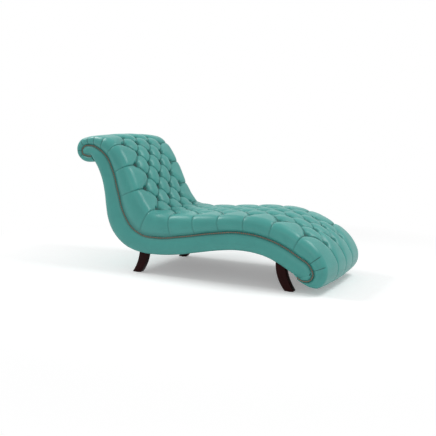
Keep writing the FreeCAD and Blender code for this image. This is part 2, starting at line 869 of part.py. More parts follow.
DECK = ArcSpline(DECK_POINTS)
CROWN = ArcSpline(CROWN_POINTS)
BACK = ArcSpline(BACK_POINTS)
FASCIA_LOW = ArcSpline(FASCIA_LOW_POINTS)


def pad_parts(parts):
    """Foam, buttoned cover and buttons."""
    sections = pad_sections()
    parts["foam_core"] = make_foam(sections)
    parts["tufted_cover"] = make_cover(sections)
    parts["tufting_buttons"] = make_buttons(sections)


def deck_parts(parts):
    """Springs, hessian and felt between the battens and the pad."""
    parts["sinuous_springs"] = make_springs()
    parts["spring_clips"] = make_clips()
    low = SPRING_LEVEL + SPRING_WIRE / 2 + TIE_WIRE_DROP
    ties = []
    for y in TIE_WIRE_PLACES:
        ties.append(strip(
            DECK, SPRING_FIRST - TIE_REACH, SPRING_LAST + TIE_REACH,
            -low, -low - TIE_WIRE, y, y + TIE_WIRE))
    parts["spring_tie_wires"] = Part.makeCompound(ties)
    parts["deck_felt"] = deck_band(DECK_START, DECK_END, 0, FELT_THICK, PANEL_INNER)
    parts["hessian_deck"] = deck_band(
        DECK_START, DECK_END, FELT_THICK, FELT_THICK + HESSIAN_THICK, PANEL_INNER)
    parts["scroll_skin"] = deck_band(
        SKIN_END, DECK_START - SKIN_GAP, 0, SKIN_THICK, PANEL_INNER)
    parts["foot_skin"] = deck_band(
        DECK_END + SKIN_GAP, DECK.length - SKIN_END, 0, SKIN_THICK, PANEL_INNER)
    batten = strip(
        DECK, DECK_START + BATTEN_END, DECK_END - BATTEN_END,
        -BATTEN_LEVEL, -BATTEN_LEVEL - BATTEN_DEPTH, PANEL_INNER - BATTEN_THICK, PANEL_INNER)
    both_sides(parts, "spring_batten", batten)


def make_round_rail(place, radius):
    """A round rail from panel to panel and the two screws in its left end."""
    start = V(place[0], -PANEL_INNER, place[1])
    rail = Part.makeCylinder(radius, 2 * PANEL_INNER, start, V(0, 1, 0))
    screws = []
    for step in (-ROUND_RAIL_SPREAD, ROUND_RAIL_SPREAD):
        screws.append(make_screw(V(place[0] + step, PANEL_OUTER, place[1])))
    return rail, screws


def frame_parts(parts):
    """Side panels, rails, screws and glue blocks."""
    rails = {}
    blocks = []
    for name, section in rail_sections().items():
        rails[name] = (make_rail(section), rail_screws(section))
        side = -1 if name == "foot_seat_rail" else 1
        block = make_glue_block(section, side)
        blocks += [block, mirrored(block)]
    rails["scroll_rail"] = make_round_rail(SCROLL_RAIL_AT, SCROLL_RAIL_RADIUS)
    rails["foot_rail"] = make_round_rail(FOOT_RAIL_AT, FOOT_RAIL_RADIUS)
    screws = []
    for name, (rail, left) in rails.items():
        both = left + [mirrored(screw) for screw in left]
        parts[name] = rail.cut(Part.makeCompound(both))
        screws += both
    left_screws = [screw for screw in screws if screw.BoundBox.YMin > 0]
    both_sides(parts, "side_panel", make_panel().cut(Part.makeCompound(left_screws)))
    parts["rail_screws"] = Part.makeCompound(screws)
    parts["glue_blocks"] = Part.makeCompound(blocks)


def make_bolt(foot, up):
    """A leg bolt from the leg up through the block."""
    length = BOLT_IN_LEG + BLOCK_HEIGHT - TEE_NUT_FLANGE * 2
    return Part.makeCylinder(BOLT_DIAMETER / 2, length, foot - up * BOLT_IN_LEG, up)


def make_tee_nut(foot, up, bolt):
    """A tee nut pressed into the top of the block."""
    barrel = Part.makeCylinder(
        TEE_NUT_BARREL / 2, TEE_NUT_LENGTH, foot + up * (BLOCK_HEIGHT - TEE_NUT_LENGTH), up)
    flange = Part.makeCylinder(
        TEE_NUT_DIAMETER / 2, TEE_NUT_FLANGE, foot + up * (BLOCK_HEIGHT - TEE_NUT_FLANGE), up)
    return barrel.fuse(flange).removeSplitter().cut(bolt)


def leg_parts(parts):
    """Legs with their blocks, bolts, tee nuts and glides."""
    bolts = []
    nuts = []
    glides = []
    for name, outer, inner in (
            ("head", HEAD_LEG_OUTER, HEAD_LEG_INNER), ("foot", FOOT_LEG_OUTER, FOOT_LEG_INNER)):
        leg = make_leg(outer, inner)
        at = block_place(outer, inner)
        block = strip(
            BACK, at - BLOCK_LENGTH / 2, at + BLOCK_LENGTH / 2, 0, BLOCK_HEIGHT,
            PANEL_INNER - BLOCK_WIDTH, PANEL_INNER)
        seat_x, seat_z, heading = BACK.at(at)
        up = V(-math.sin(heading), 0, math.cos(heading))
        along = V(math.cos(heading), 0, math.sin(heading))
        for step in (-BOLT_SPREAD, BOLT_SPREAD):
            foot = V(seat_x, PANEL_INNER - BOLT_FROM_PANEL, seat_z) + along * step
            bolt = make_bolt(foot, up)
            nut = make_tee_nut(foot, up, bolt)
            block = block.cut(bolt).cut(nut)
            leg = leg.cut(bolt)
            bolts += [bolt, mirrored(bolt)]
            nuts += [nut, mirrored(nut)]
        both_sides(parts, name + "_leg", leg)
        both_sides(parts, name + "_leg_block", block)
        foot_x = (outer[0][0] + inner[0][0]) / 2
        glide = Part.makeCylinder(
            GLIDE_DIAMETER / 2, GLIDE_THICK, V(foot_x, LEG_OUTER - LEG_THICK / 2, 0))
        glides += [glide, mirrored(glide)]
    parts["leg_bolts"] = Part.makeCompound(bolts)
    parts["tee_nuts"] = Part.makeCompound(nuts)
    parts["leg_glides"] = Part.makeCompound(glides)


def cover_parts(parts):
    """Fascia, trim, nails, outer back and dust cover."""
    sections = fascia_sections()
    both_sides(parts, "fascia_padding", make_fascia_pad(sections))
    both_sides(parts, "fascia_leather", make_fascia_leather(sections))
    trim = strip(
        DECK, TRIM_END, DECK.length - TRIM_END, -TRIM_DROP, -TRIM_WIDTH,
        PANEL_OUTER, PANEL_OUTER + TRIM_THICK)
    both_sides(parts, "nail_trim", trim)
    both_sides(parts, "trim_nails", make_nails())
    parts["back_board"] = strip(
        BACK, BACK_START, BACK_COVER_END, 0, BACK_BOARD_THICK, -PANEL_INNER, PANEL_INNER)
    parts["outer_back_leather"] = strip(
        BACK, BACK_START, BACK_COVER_END, -REST_GAP, -REST_GAP - LEATHER,
        -PANEL_OUTER, PANEL_OUTER)
    half_width = LEG_OUTER - LEG_THICK - DUST_COVER_GAP
    parts["dust_cover"] = strip(
        BACK, BACK_COVER_END + DUST_COVER_GAP, BACK.length - SKIN_END,
        -REST_GAP, -REST_GAP - DUST_COVER_THICK, -half_width, half_width)


def main():
    """Builds every piece, centres the whole and writes one file for each."""
    parts = {}
    frame_parts(parts)
    deck_parts(parts)
    leg_parts(parts)
    cover_parts(parts)
    pad_parts(parts)
    whole = FreeCAD.BoundBox()
    for shape in parts.values():
        whole.add(shape.BoundBox)
    centre = V(-whole.Center.x, 0, 0)
    os.makedirs("parts", exist_ok=True)
    for name, shape in parts.items():
        shape.translate(centre)
        shape.exportStep("parts/" + name + ".step")
        kinds = len(shape.Solids)
        print(name, kinds, shape.isValid(), round(shape.Volume / 1000, 1))
    print("moved along X by", round(centre.x, 3), "size", whole.XLength, whole.YLength, whole.ZLength)


main()
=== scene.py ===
"""Buttoned leather chaise longue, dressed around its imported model.

The side outlines are in millimetres, measured from the floor end of the head
legs as the maker draws them; everything that is built is in metres, in the
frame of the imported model. X runs from the head to the foot, Y to the sitter's
left, Z up.
"""

import json
import logging
import math
from dataclasses import dataclass, field
from enum import Enum
from typing import Callable, Iterable, Sequence

import bpy
import numpy as np
from mathutils import Matrix, Vector

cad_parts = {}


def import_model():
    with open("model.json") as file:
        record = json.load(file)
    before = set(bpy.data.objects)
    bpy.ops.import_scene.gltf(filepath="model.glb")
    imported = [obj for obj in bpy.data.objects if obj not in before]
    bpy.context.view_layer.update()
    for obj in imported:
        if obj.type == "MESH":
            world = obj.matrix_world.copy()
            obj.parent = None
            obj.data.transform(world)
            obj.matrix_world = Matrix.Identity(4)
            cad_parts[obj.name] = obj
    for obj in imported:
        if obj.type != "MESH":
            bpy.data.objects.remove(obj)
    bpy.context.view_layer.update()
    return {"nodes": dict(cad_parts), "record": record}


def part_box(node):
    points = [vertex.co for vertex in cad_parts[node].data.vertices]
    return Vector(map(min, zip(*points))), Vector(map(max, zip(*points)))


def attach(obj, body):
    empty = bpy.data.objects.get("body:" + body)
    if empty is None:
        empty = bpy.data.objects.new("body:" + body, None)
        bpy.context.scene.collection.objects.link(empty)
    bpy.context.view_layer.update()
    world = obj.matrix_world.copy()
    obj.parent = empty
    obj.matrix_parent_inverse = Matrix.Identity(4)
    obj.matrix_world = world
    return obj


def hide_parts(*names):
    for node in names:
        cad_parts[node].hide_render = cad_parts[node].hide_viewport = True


LOG = logging.getLogger("chaise")
MM = 0.001
BODY = "root"
HEAD_GLIDE_X = -23.0
GLIDE_RADIUS = 15.0
PANEL_OUTER = 306.0
PAIR_REACH = 160.0
PAIR_STEPS = 34
PAIR_LEAST = 0.01
RIPPLE_WAVES = 5
DOME_EASE = 50.0
PADDING_EASE = 60.0

DECK_POINTS = (
    (-372, 752), (-420, 754), (-452, 771), (-455, 798), (-430, 824), (-378, 831),
    (-301, 805), (-238, 752), (-192, 661), (-154, 526), (-114, 392), (-52, 301), (26, 258),
    (146, 249), (343, 273), (543, 308), (735, 328), (869, 316), (985, 284),
    (1097, 228), (1194, 158), (1209, 120), (1188, 78), (1150, 69), (1103, 91),
)
CROWN_POINTS = (
    (-341, 720), (-395, 709), (-467, 729), (-505, 793), (-480, 859), (-399, 892),
    (-302, 901), (-208, 883), (-143, 836), (-89, 764), (-43, 684), (-6, 605),
    (33, 528), (70, 470), (118, 429), (200, 418), (350, 422), (540, 434),
    (710, 443), (860, 439), (990, 413), (1105, 365), (1210, 302), (1273, 228),
    (1302, 150), (1288, 77), (1240, 33), (1188, 36), (1145, 57), (1104, 81),
)
BACK_POINTS = (
    (-341, 716), (-313, 668), (-289, 609), (-268, 510), (-260, 430), (-247, 349),
    (-221, 283), (-168, 217), (-79, 161), (30, 136), (147, 134), (298, 148),
    (444, 175), (586, 201), (722, 215), (822, 211), (910, 194), (1009, 152), (1083, 111),
)
FASCIA_LOW_POINTS = (
    (-442, 784), (-435, 773), (-413, 766), (-382, 765), (-370, 757), (-360, 740), (-342, 716),
    *BACK_POINTS[1:-1], (1081, 113), (1118, 97), (1151, 81), (1182, 88), (1197, 121),
)


class Finish(Enum):
    """The record's material slots."""

    LEATHER = "teal_leather"
    WELT = "welt_leather"
    NAIL = "bronze_nail"
    MAHOGANY = "mahogany"
    PLYWOOD = "plywood"
    HARDWOOD = "hardwood"
    SPRING = "spring_steel"
    ZINC = "zinc_steel"
    FOAM = "foam"
    COTTON = "cotton_padding"
    HESSIAN = "hessian"
    BOARD = "grey_board"
    DUST = "dust_cloth"
    GLIDE = "nylon_glide"


class ArcSpline:
    """A smooth plane curve of tangent arcs, measured by its length in millimetres."""

    def __init__(self, points: Sequence[tuple[float, float]]) -> None:
        """Builds the arcs.

        Args:
            points: places in X and Z that the curve goes through.
        """
        self.arcs: list[tuple[float, float, float, float, float]] = []
        headings = self._headings(points)
        for first, second, start, end in zip(points, points[1:], headings, headings[1:]):
            self._add_pair(first, second, start, end)
        table = np.array(self.arcs)
        self.x, self.z, self.heading, self.run, self.bend = table.T
        self.starts = np.concatenate([[0.0], np.cumsum(self.run)])
        self.length = float(self.starts[-1])

    @staticmethod
    def _headings(points: Sequence[tuple[float, float]]) -> list[float]:
        """Headings at the points, each from the circle through it and its neighbours.

        Args:
            points: places that the curve goes through.

        Returns:
            One angle in radians for each point.
        """
        steps = np.diff(np.array(points, float), axis=0)
        angles = np.unwrap(np.arctan2(steps[:, 1], steps[:, 0]))
        sizes = np.hypot(steps[:, 0], steps[:, 1])
        turns = np.diff(angles)
        shares = sizes[:-1] / (sizes[:-1] + sizes[1:])
        first = angles[0] - turns[0] * shares[0]
        last = angles[-1] + turns[-1] * (1 - shares[-1])
        return [first, *(angles[:-1] + turns * shares), last]

    def _add_pair(
            self, p: tuple[float, float], q: tuple[float, float],
            start: float, end: float) -> None:
        """Adds two tangent arcs from p to q.

        Args:
            p: first place.
            q: second place.
            start: heading at p.
            end: heading at q.
        """
        tx, tz = math.cos(start), math.sin(start)
        ux, uz = math.cos(end), math.sin(end)
        vx, vz = q[0] - p[0], q[1] - p[1]
        along = vx * (tx + ux) + vz * (tz + uz)
        spread = 2 * (1 - (tx * ux + tz * uz))
        square = vx * vx + vz * vz
        if spread < 1e-9:
            reach = square / (2 * along)
        else:
            reach = (-along + math.sqrt(along * along + spread * square)) / spread
        joint = ((p[0] + q[0] + reach * (tx - ux)) / 2, (p[1] + q[1] + reach * (tz - uz)) / 2)
        middle = self._add_arc(p, joint, start)
        self._add_arc(joint, q, middle)

    def _add_arc(
            self, p: tuple[float, float], q: tuple[float, float], heading: float) -> float:
        """Adds one arc from p to q.

        Args:
            p: first place.
            q: second place.
            heading: heading at p.

        Returns:
            The heading at q.
        """
        chord = math.dist(p, q)
        angle = math.atan2(q[1] - p[1], q[0] - p[0]) - heading
        angle = (angle + math.pi) % (2 * math.pi) - math.pi
        bend = 2 * math.sin(angle) / chord
        length = chord if abs(angle) < 1e-7 else 2 * angle / bend
        self.arcs.append((p[0], p[1], heading, length, bend))
        return heading + length * bend

    def at(self, distance: np.ndarray, offset: float = 0.0) -> np.ndarray:
        """Places and headings along the curve.

        Args:
            distance: lengths along the curve.
            offset: distance to the curve's left.

        Returns:
            One row of X, Z and heading for each length.
        """
        distance = np.atleast_1d(np.asarray(distance, float))
        index = np.clip(np.searchsorted(self.starts, distance, "right") - 1, 0, len(self.run) - 1)
        run = distance - self.starts[index]
        heading, bend = self.heading[index], self.bend[index]
        turned = heading + run * bend
        straight = np.abs(bend) < 1e-12
        safe = np.where(straight, 1.0, bend)
        dx = np.where(straight, run * np.cos(heading), (np.sin(turned) - np.sin(heading)) / safe)
        dz = np.where(straight, run * np.sin(heading), (np.cos(heading) - np.cos(turned)) / safe)
        x = self.x[index] + dx - offset * np.sin(turned)
        z = self.z[index] + dz + offset * np.cos(turned)
        return np.stack([x, z, turned], 1)

    def facing(
            self, places: np.ndarray, low: float = 0.0, offset: float = 0.0) -> np.ndarray:
        """Lengths on this curve that face rows of X, Z and heading on another one.

        Args:
            places: rows from the other curve's at().
            low: length on this curve before which nothing is looked for.
            offset: distance to this curve's left.

        Returns:
            One length for each row, growing all the way.
        """
        found = []
        for x, z, other in places:
            start, end = low, min(low + PAIR_REACH, self.length)
            for _ in range(PAIR_STEPS):
                middle = (start + end) / 2
                near_x, near_z, heading = self.at(middle, offset)[0]
                along_x = math.cos(heading) + math.cos(other)
                along_z = math.sin(heading) + math.sin(other)
                if (x - near_x) * along_x + (z - near_z) * along_z > 0:
                    start = middle
                else:
                    end = middle
            low = max((start + end) / 2, low + PAIR_LEAST)
            found.append(min(low, self.length))
        return np.array(found)

    def nearest(self, spot: Sequence[float], end: float) -> float:
        """Length on this curve at which it comes closest to a place.

        Args:
            spot: X and Z of the place first.
            end: length beyond which nothing is looked for.

        Returns:
            The length, to a millimetre.
        """
        trial = np.arange(0.0, end, 1.0)
        away = self.at(trial)[:, :2] - np.asarray(spot)[:2]
        return float(trial[np.argmin(np.linalg.norm(away, axis=1))])


DECK = ArcSpline(DECK_POINTS)
CROWN = ArcSpline(CROWN_POINTS)
BACK = ArcSpline(BACK_POINTS)
FASCIA_LOW = ArcSpline(FASCIA_LOW_POINTS)


@dataclass
class ButtonRows:
    """Where the rows of buttons lie along the crown.

    The rows are evenly spaced along a line some way under the crown, so on the
    crown they open out over its humps and close up in its hollow. The head's
    roll pushes the first few rows down the back. Beyond the first and the last
    row, row places go on with the crown's own length.

    Attributes:
        count: how many rows there are.
        depth: depth of the line under the crown in millimetres.
        first: length along that line at the first row.
        pitch: distance of the rows along that line.
        lead: how far the roll pushes the first row along that line.
        fade: count of rows over which the push dies away.
    """

    count: int = 21
    depth: float = 65.0
    first: float = 220.4
    pitch: float = 88.9
    lead: float = 74.0
    fade: float = 1.5

    def __post_init__(self) -> None:
        """Tabulates row places against lengths along the crown."""
        self.marks = np.arange(0.0, CROWN.length + 1.0, 0.5)
        turned = CROWN.at(self.marks)[:, 2] - CROWN.heading[0]
        steps = np.arange(-1.0, self.count, 0.01)
        line = self.first + steps * self.pitch + self.lead * np.exp(-steps / self.fade)
        rows = np.interp(self.marks + self.depth * turned, line, steps)
        ends = np.interp([0, self.count - 1], rows, self.marks)
        before = (self.marks - ends[0]) / self.pitch
        beyond = self.count - 1 + (self.marks - ends[1]) / self.pitch
        self.rows = np.where(self.marks < ends[0], before, rows)
        self.rows = np.where(self.marks > ends[1], beyond, self.rows)

    def mark(self, row: np.ndarray) -> np.ndarray:
        """Lengths along the crown at row places."""
        return np.interp(row, self.rows, self.marks)

    def row(self, mark: float) -> float:
        """Row place at a length along the crown."""
        return float(np.interp(mark, self.marks, self.rows))


def smooth(value: np.ndarray) -> np.ndarray:
    """Eased step of a value from 0 to 1."""
    value = np.clip(value, 0.0, 1.0)
    return value * value * (3 - 2 * value)


def mix(first: np.ndarray, second: np.ndarray, share: np.ndarray) -> np.ndarray:
    """Value between two, at a share of the way."""
    return first + (second - first) * share


def crowned(share: np.ndarray, squareness: float, roll: float) -> np.ndarray:
    """Rise of a padded form across its width.

    Args:
        share: places from -1 at one edge to 1 at the other.
        squareness: how flat the form's middle is.
        roll: how round its edges are.

    Returns:
        Rises from 0 to 1.
    """
    return (1 - np.abs(share) ** squareness) ** roll


def ripple(places: np.ndarray, wave: float, seed: float) -> np.ndarray:
    """Gentle unevenness, made of a few crossing waves.

    Args:
        places: points in millimetres, with X, Y and Z last.
        wave: rough length of the waves in millimetres.
        seed: shifts the waves.

    Returns:
        Values from about -1 to 1, one for each point.
    """
    total = np.zeros(places.shape[:-1])
    for index in range(RIPPLE_WAVES):
        angle = seed + index * 2.4
        tilt = math.sin(seed + index * 1.7)
        way = np.array([math.cos(angle), math.sin(angle), tilt])
        total += np.sin(places @ way * 2 * math.pi / (wave * (1 + 0.17 * index)) + index * seed)
    return total / RIPPLE_WAVES


def edit(obj: bpy.types.Object, *steps: Callable[[], object]) -> None:
    """Runs operators in edit mode with everything selected.

    Args:
        obj: the piece.
        steps: what is run, in order.
    """
    bpy.ops.object.select_all(action="DESELECT")
    obj.select_set(True)
    bpy.context.view_layer.objects.active = obj
    bpy.ops.object.mode_set(mode="EDIT")
    bpy.ops.mesh.select_all(action="SELECT")
    for step in steps:
        step()
    bpy.ops.object.mode_set(mode="OBJECT")


def place_new(name: str, mesh: bpy.types.Mesh) -> bpy.types.Object:
    """Puts a mesh into the scene as a new object.

    Args:
        name: the object's name.
        mesh: its mesh.

    Returns:
        The object.
    """
    piece = bpy.data.objects.new(name, mesh)
    bpy.context.scene.collection.objects.link(piece)
    return piece


def ease(degrees: float) -> None:
    """Shades the active piece smooth, up to an angle."""
    bpy.ops.object.shade_smooth_by_angle(angle=math.radians(degrees))


def dome(
        radius: float, height: float, segments: int, rings: int,
        sunk: float = 0.0) -> bpy.types.Object:
    """Models one domed head that stands on the origin.

    Args:
        radius: its radius in metres.
        height: its height in metres.
        segments: count of its sides.
        rings: count of rings in the ball that it is cut from.
        sunk: how far under the ball's middle it is cut, as a share of the radius.

    Returns:
        The head, closed underneath.
    """
    bpy.ops.mesh.primitive_uv_sphere_add(segments=segments, ring_count=rings, radius=radius)
    head = bpy.context.object
    edit(
        head,
        lambda: bpy.ops.mesh.bisect(
            plane_co=(0, 0, -radius * sunk), plane_no=(0, 0, 1), use_fill=True,
            clear_inner=True),
        lambda: bpy.ops.mesh.select_all(action="SELECT"),
        lambda: bpy.ops.transform.translate(value=(0, 0, radius * sunk)),
        lambda: bpy.ops.transform.resize(
            value=(1, 1, height / (radius * (1 + sunk))), center_override=(0, 0, 0)))
    ease(DOME_EASE)
    return head


def scatter(
        name: str, pattern: bpy.types.Object, places: Iterable[Matrix]) -> bpy.types.Object:
    """Sets a copy of a pattern at each place and joins the copies.

    Args:
        name: the joined piece's name.
        pattern: what is copied and then taken away.
        places: where the copies go.

    Returns:
        The joined copies, with their places in the mesh.
    """
    copies = []
    for place in places:
        copy = place_new(name, pattern.data.copy())
        copy.matrix_world = place
        copies.append(copy)
    bpy.data.objects.remove(pattern)
    bpy.ops.object.select_all(action="DESELECT")
    for copy in copies:
        copy.select_set(True)
    bpy.context.view_layer.objects.active = copies[0]
    bpy.ops.object.join()
    bpy.ops.object.transform_apply(location=True, rotation=True, scale=True)
    copies[0].name = name
    copies[0].data.name = name
    return copies[0]


def facets(rows: int, columns: int, falling: np.ndarray | None) -> np.ndarray:
    """Triangles over closed rings of points.

    Args:
        rows: count of rings.
        columns: count of points in a ring.
        falling: for each cell, whether it is cut from its first corner.

    Returns:
        Three point numbers for each triangle.
    """
    row, column = np.meshgrid(np.arange(rows - 1), np.arange(columns), indexing="ij")
    a = row * columns + column
    b = row * columns + (column + 1) % columns
    c = b + columns
    d = a + columns
    if falling is None:
        falling = np.ones(a.shape, bool)
    cut = falling[..., None]
    first = np.where(cut, np.stack([a, b, c], -1), np.stack([a, b, d], -1))
    second = np.where(cut, np.stack([a, c, d], -1), np.stack([b, c, d], -1))
    return np.concatenate([first.reshape(-1, 3), second.reshape(-1, 3)])


def padded_skin(
        name: str, rings: np.ndarray, fields: dict[str, np.ndarray],
        falling: np.ndarray | None = None) -> bpy.types.Object:
    """A closed padded form through rings of points, its ends capped.

    Args:
        name: the piece's name.
        rings: points in metres, as rows, ring places and coordinates.
        fields: values for the points, stored under their names.
        falling: for each cell, whether it is cut from its first corner.

    Returns:
        The piece, shaded smooth.
    """
    rows, columns, _ = rings.shape
    triangles = facets(rows, columns, falling)
    mesh = bpy.data.meshes.new(name)
    caps = [list(range(columns))[::-1], list(range((rows - 1) * columns, rows * columns))]
    mesh.from_pydata(rings.reshape(-1, 3).tolist(), [], triangles.tolist() + caps)
    for field_name, values in fields.items():
        layer = mesh.attributes.new(field_name, "FLOAT", "POINT")
        layer.data.foreach_set("value", values.reshape(-1).astype(np.float32))
    piece = place_new(name, mesh)
    edit(piece, lambda: bpy.ops.mesh.normals_make_consistent(inside=False))
    ease(PADDING_EASE)
    return piece


@dataclass
class Piece:
    """A dressed piece of the chaise.

    Attributes:
        library: the materials.
        shift: how far the whole is moved along X, in millimetres.
    """

    library: "Library"
    shift: float

    def settle(
            self, piece: bpy.types.Object, finish: Finish, nodes: Iterable[str],
            fill: float | None = None) -> None:
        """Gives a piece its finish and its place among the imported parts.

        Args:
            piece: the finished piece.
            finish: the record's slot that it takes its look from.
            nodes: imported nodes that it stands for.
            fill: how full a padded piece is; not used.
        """
        piece.data.materials.clear()
        piece.data.materials.append(self.library.get(finish))
        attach(piece, BODY)
        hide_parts(*nodes)
        LOG.info("%s: %d faces", piece.name, len(piece.data.polygons))


@dataclass
class SidePiece(Piece):
    """A piece on one side of the chaise.

    Attributes:
        side: 1 on the sitter's left and -1 on the right.
    """

    side: int

    @property
    def hand(self) -> str:
        """The side's name."""
        return "left" if self.side > 0 else "right"


@dataclass
class Sections:
    """Cuts across the chaise at lengths along an upper curve.

    Attributes:
        marks: lengths along the upper curve in millimetres.
        upper: curve that the marks lie on.
        lower: curve that the cuts start from.
        offset: distance of the start to the lower curve's left.
        low: length on the lower curve before which no cut starts.
        shift: how far the whole is moved along X, in millimetres.
    """

    marks: np.ndarray
    upper: ArcSpline
    lower: ArcSpline
    offset: float = 0.0
    low: float = 0.0
    shift: float = 0.0
    depth: np.ndarray = field(init=False)

    def __post_init__(self) -> None:
        """Pairs the two curves."""
        heads = self.upper.at(self.marks)
        feet = self.lower.at(self.lower.facing(heads, self.low, self.offset), self.offset)
        self.foot = feet[:, :2]
        along = heads[:, :2] - self.foot
        self.depth = np.linalg.norm(along, axis=1)
        self.up = along / self.depth[:, None]
        self.heading = heads[:, 2]

    def spots(self, y: np.ndarray, h: np.ndarray) -> np.ndarray:
        """Points in metres.

        Args:
            y: widths in millimetres, as rows and columns.
            h: heights over the lower curve, of the same shape.

        Returns:
            X, Y and Z of each point.
        """
        x = self.foot[:, :1] + self.up[:, :1] * h + self.shift
        z = self.foot[:, 1:] + self.up[:, 1:] * h
        return np.stack([x, y, z], -1) * MM


@dataclass
class TuftedPad(Piece):
    """The buttoned pad: foam, leather, pleats and pits as one closed form."""

    rows: ButtonRows = field(default_factory=ButtonRows)
    button_spacing: float = 141.0
    steps: int = 16
    side_reach: float = 22.0
    full_depth: float = 100.0
    gap: float = 1.0
    head_start: float = 9.0
    shoulder_radius: float = 55.0
    shoulder_share: float = 0.42
    shoulder_drop: float = 14.0
    side_bulge: float = 6.0
    bulge_height: float = 0.45
    pit_depth: float = 31.0
    pleat_depth: float = 14.0
    side_pleat_depth: float = 5.0
    head_pleat_depth: float = 1.0
    well_radius: float = 12.0
    well_blend: float = 14.0
    pit_shadow: float = 14.0
    fade_from: float = 0.3
    fade_over: float = 0.75
    head_fade: float = 1.5
    roundness: tuple[float, float] = (0.5, 0.24)
    valley: float = 0.35
    pleat_line: float = 3.0
    pleat_shades: tuple[float, float] = (0.85, 0.75)
    shallow_shade: float = 0.3
    button_lift: float = 0.6
    flat_columns: int = 60
    edge_columns: int = 4
    shoulder_columns: int = 14
    side_columns: int = 14
    floor_columns: int = 8
    gathers: tuple[tuple[float, float], ...] = (
        (-290, 797), (-346, 825), (-395, 830), (-432, 822), (-455, 790), (-448, 765),
        (1176, 172), (1207, 140),
    )
    gather_depth: float = 3.5
    gather_width: float = 26.0
    gather_from: float = 0.15
    gather_over: float = 0.35
    gather_shape: float = 0.45
    gather_line: float = 6.0
    hem_columns: int = 5
    hem_draw: float = 0.35
    waves: tuple[tuple[float, float, float], ...] = ((0.5, 190, 1.3), (0.25, 70, 4.1))

    def __post_init__(self) -> None:
        """Lays out the rows of points along the pad."""
        first = self.rows.row(self.head_start)
        last = self.rows.row(CROWN.length)
        whole = np.arange(math.ceil(first * self.steps), math.floor(last * self.steps)) / self.steps
        self.t = np.concatenate([[first], whole[1:], [last]])
        self.marks = self.rows.mark(self.t)
        self.pitch = np.gradient(self.marks, self.t)[:, None]
        self.sections = Sections(self.marks, CROWN, DECK, shift=self.shift)
        self.scale = np.minimum(self.sections.depth / self.full_depth, 1.0)[:, None]

    def profile(self) -> tuple[np.ndarray, np.ndarray, np.ndarray, np.ndarray, np.ndarray]:
        """The pad's outline on one side, before it is tufted.

        Returns:
            Width, height, the two parts of the outward direction, and the length round
            the outline from the middle, each as rows and columns.
        """
        depth = self.sections.depth[:, None]
        radius = np.minimum(self.shoulder_radius, self.shoulder_share * depth)
        side_y = PANEL_OUTER + self.side_reach * self.scale
        side_top = depth - self.shoulder_drop * self.scale
        flat_end = side_y - radius
        flat = np.arange(self.flat_columns + 1) * self.button_spacing / 2 / self.steps
        last = flat[-1]
        edge = last + (flat_end - last) * np.arange(1, self.edge_columns) / self.edge_columns
        top_y = np.concatenate([np.broadcast_to(flat, (len(depth), len(flat))), edge], 1)
        top_h = depth - (depth - side_top) * (top_y / flat_end) ** 2
        turn = np.linspace(math.pi / 2, 0, self.shoulder_columns)[None, :]
        turn_y = flat_end + radius * np.cos(turn)
        turn_h = side_top - radius + radius * np.sin(turn)
        run = (np.arange(1, self.side_columns + 1) / self.side_columns)[None, :]
        first, middle, end = (1 - run) ** 2, 2 * run * (1 - run), run ** 2
        side_low = side_top - radius
        bulge = side_y + self.side_bulge * self.scale
        side_out = first * side_y + middle * bulge + end * PANEL_OUTER
        side_h = first * side_low + middle * side_low * self.bulge_height + end * self.gap
        y = np.concatenate([top_y, turn_y, side_out], 1)
        h = np.concatenate([top_h, turn_h, side_h], 1)
        dy, dh = np.gradient(y, axis=1), np.gradient(h, axis=1)
        size = np.hypot(dy, dh)
        steps = np.hypot(np.diff(y, axis=1), np.diff(h, axis=1))
        length = np.concatenate([np.zeros((len(y), 1)), np.cumsum(steps, 1)], 1)
        return y, h, -dh / size, dy / size, length

    def hollows(self, t: np.ndarray, s: np.ndarray) -> tuple[np.ndarray, np.ndarray]:
        """How deep the leather is drawn in, and how much painted shade falls on it in the pleats
        and pits.

        Buttons stand where t + s is even. Pleats join them in diamonds and run on
        straight over the sides and both ends.

        Args:
            t: row places, in row pitches from the first row.
            s: places from the middle, in half button spacings.

        Returns:
            Depths in millimetres and shares of painted shade from 0 to 1, in the pleats and the
            pits round the buttons.
        """
        last = self.rows.count - 1
        even = np.clip(2 * np.round(t / 2), 0, last)
        near = np.clip(2 * np.round(s / 2), 0, 2)
        side_out = (s - 2 - np.abs(t - even)) / 2
        zag = np.abs(s - near)
        head_out = (zag - t) / 2
        foot_out = (t - last + zag) / 2
        wide = s > 2
        foot_corner = wide & (t > last - 1) & (s + t > last + 2)
        head_corner = wide & (t < 1) & (s - t > 2)
        side = (side_out > 0) & ~foot_corner & ~head_corner
        foot = (foot_out > 0) & ~wide
        head = (head_out > 0) & ~wide

        def arch(value: np.ndarray) -> np.ndarray:
            """Rise from a pleat to a pillow's top, for distances from 0 to a half."""
            return np.sin(math.pi * np.clip(value, 0, 0.5))

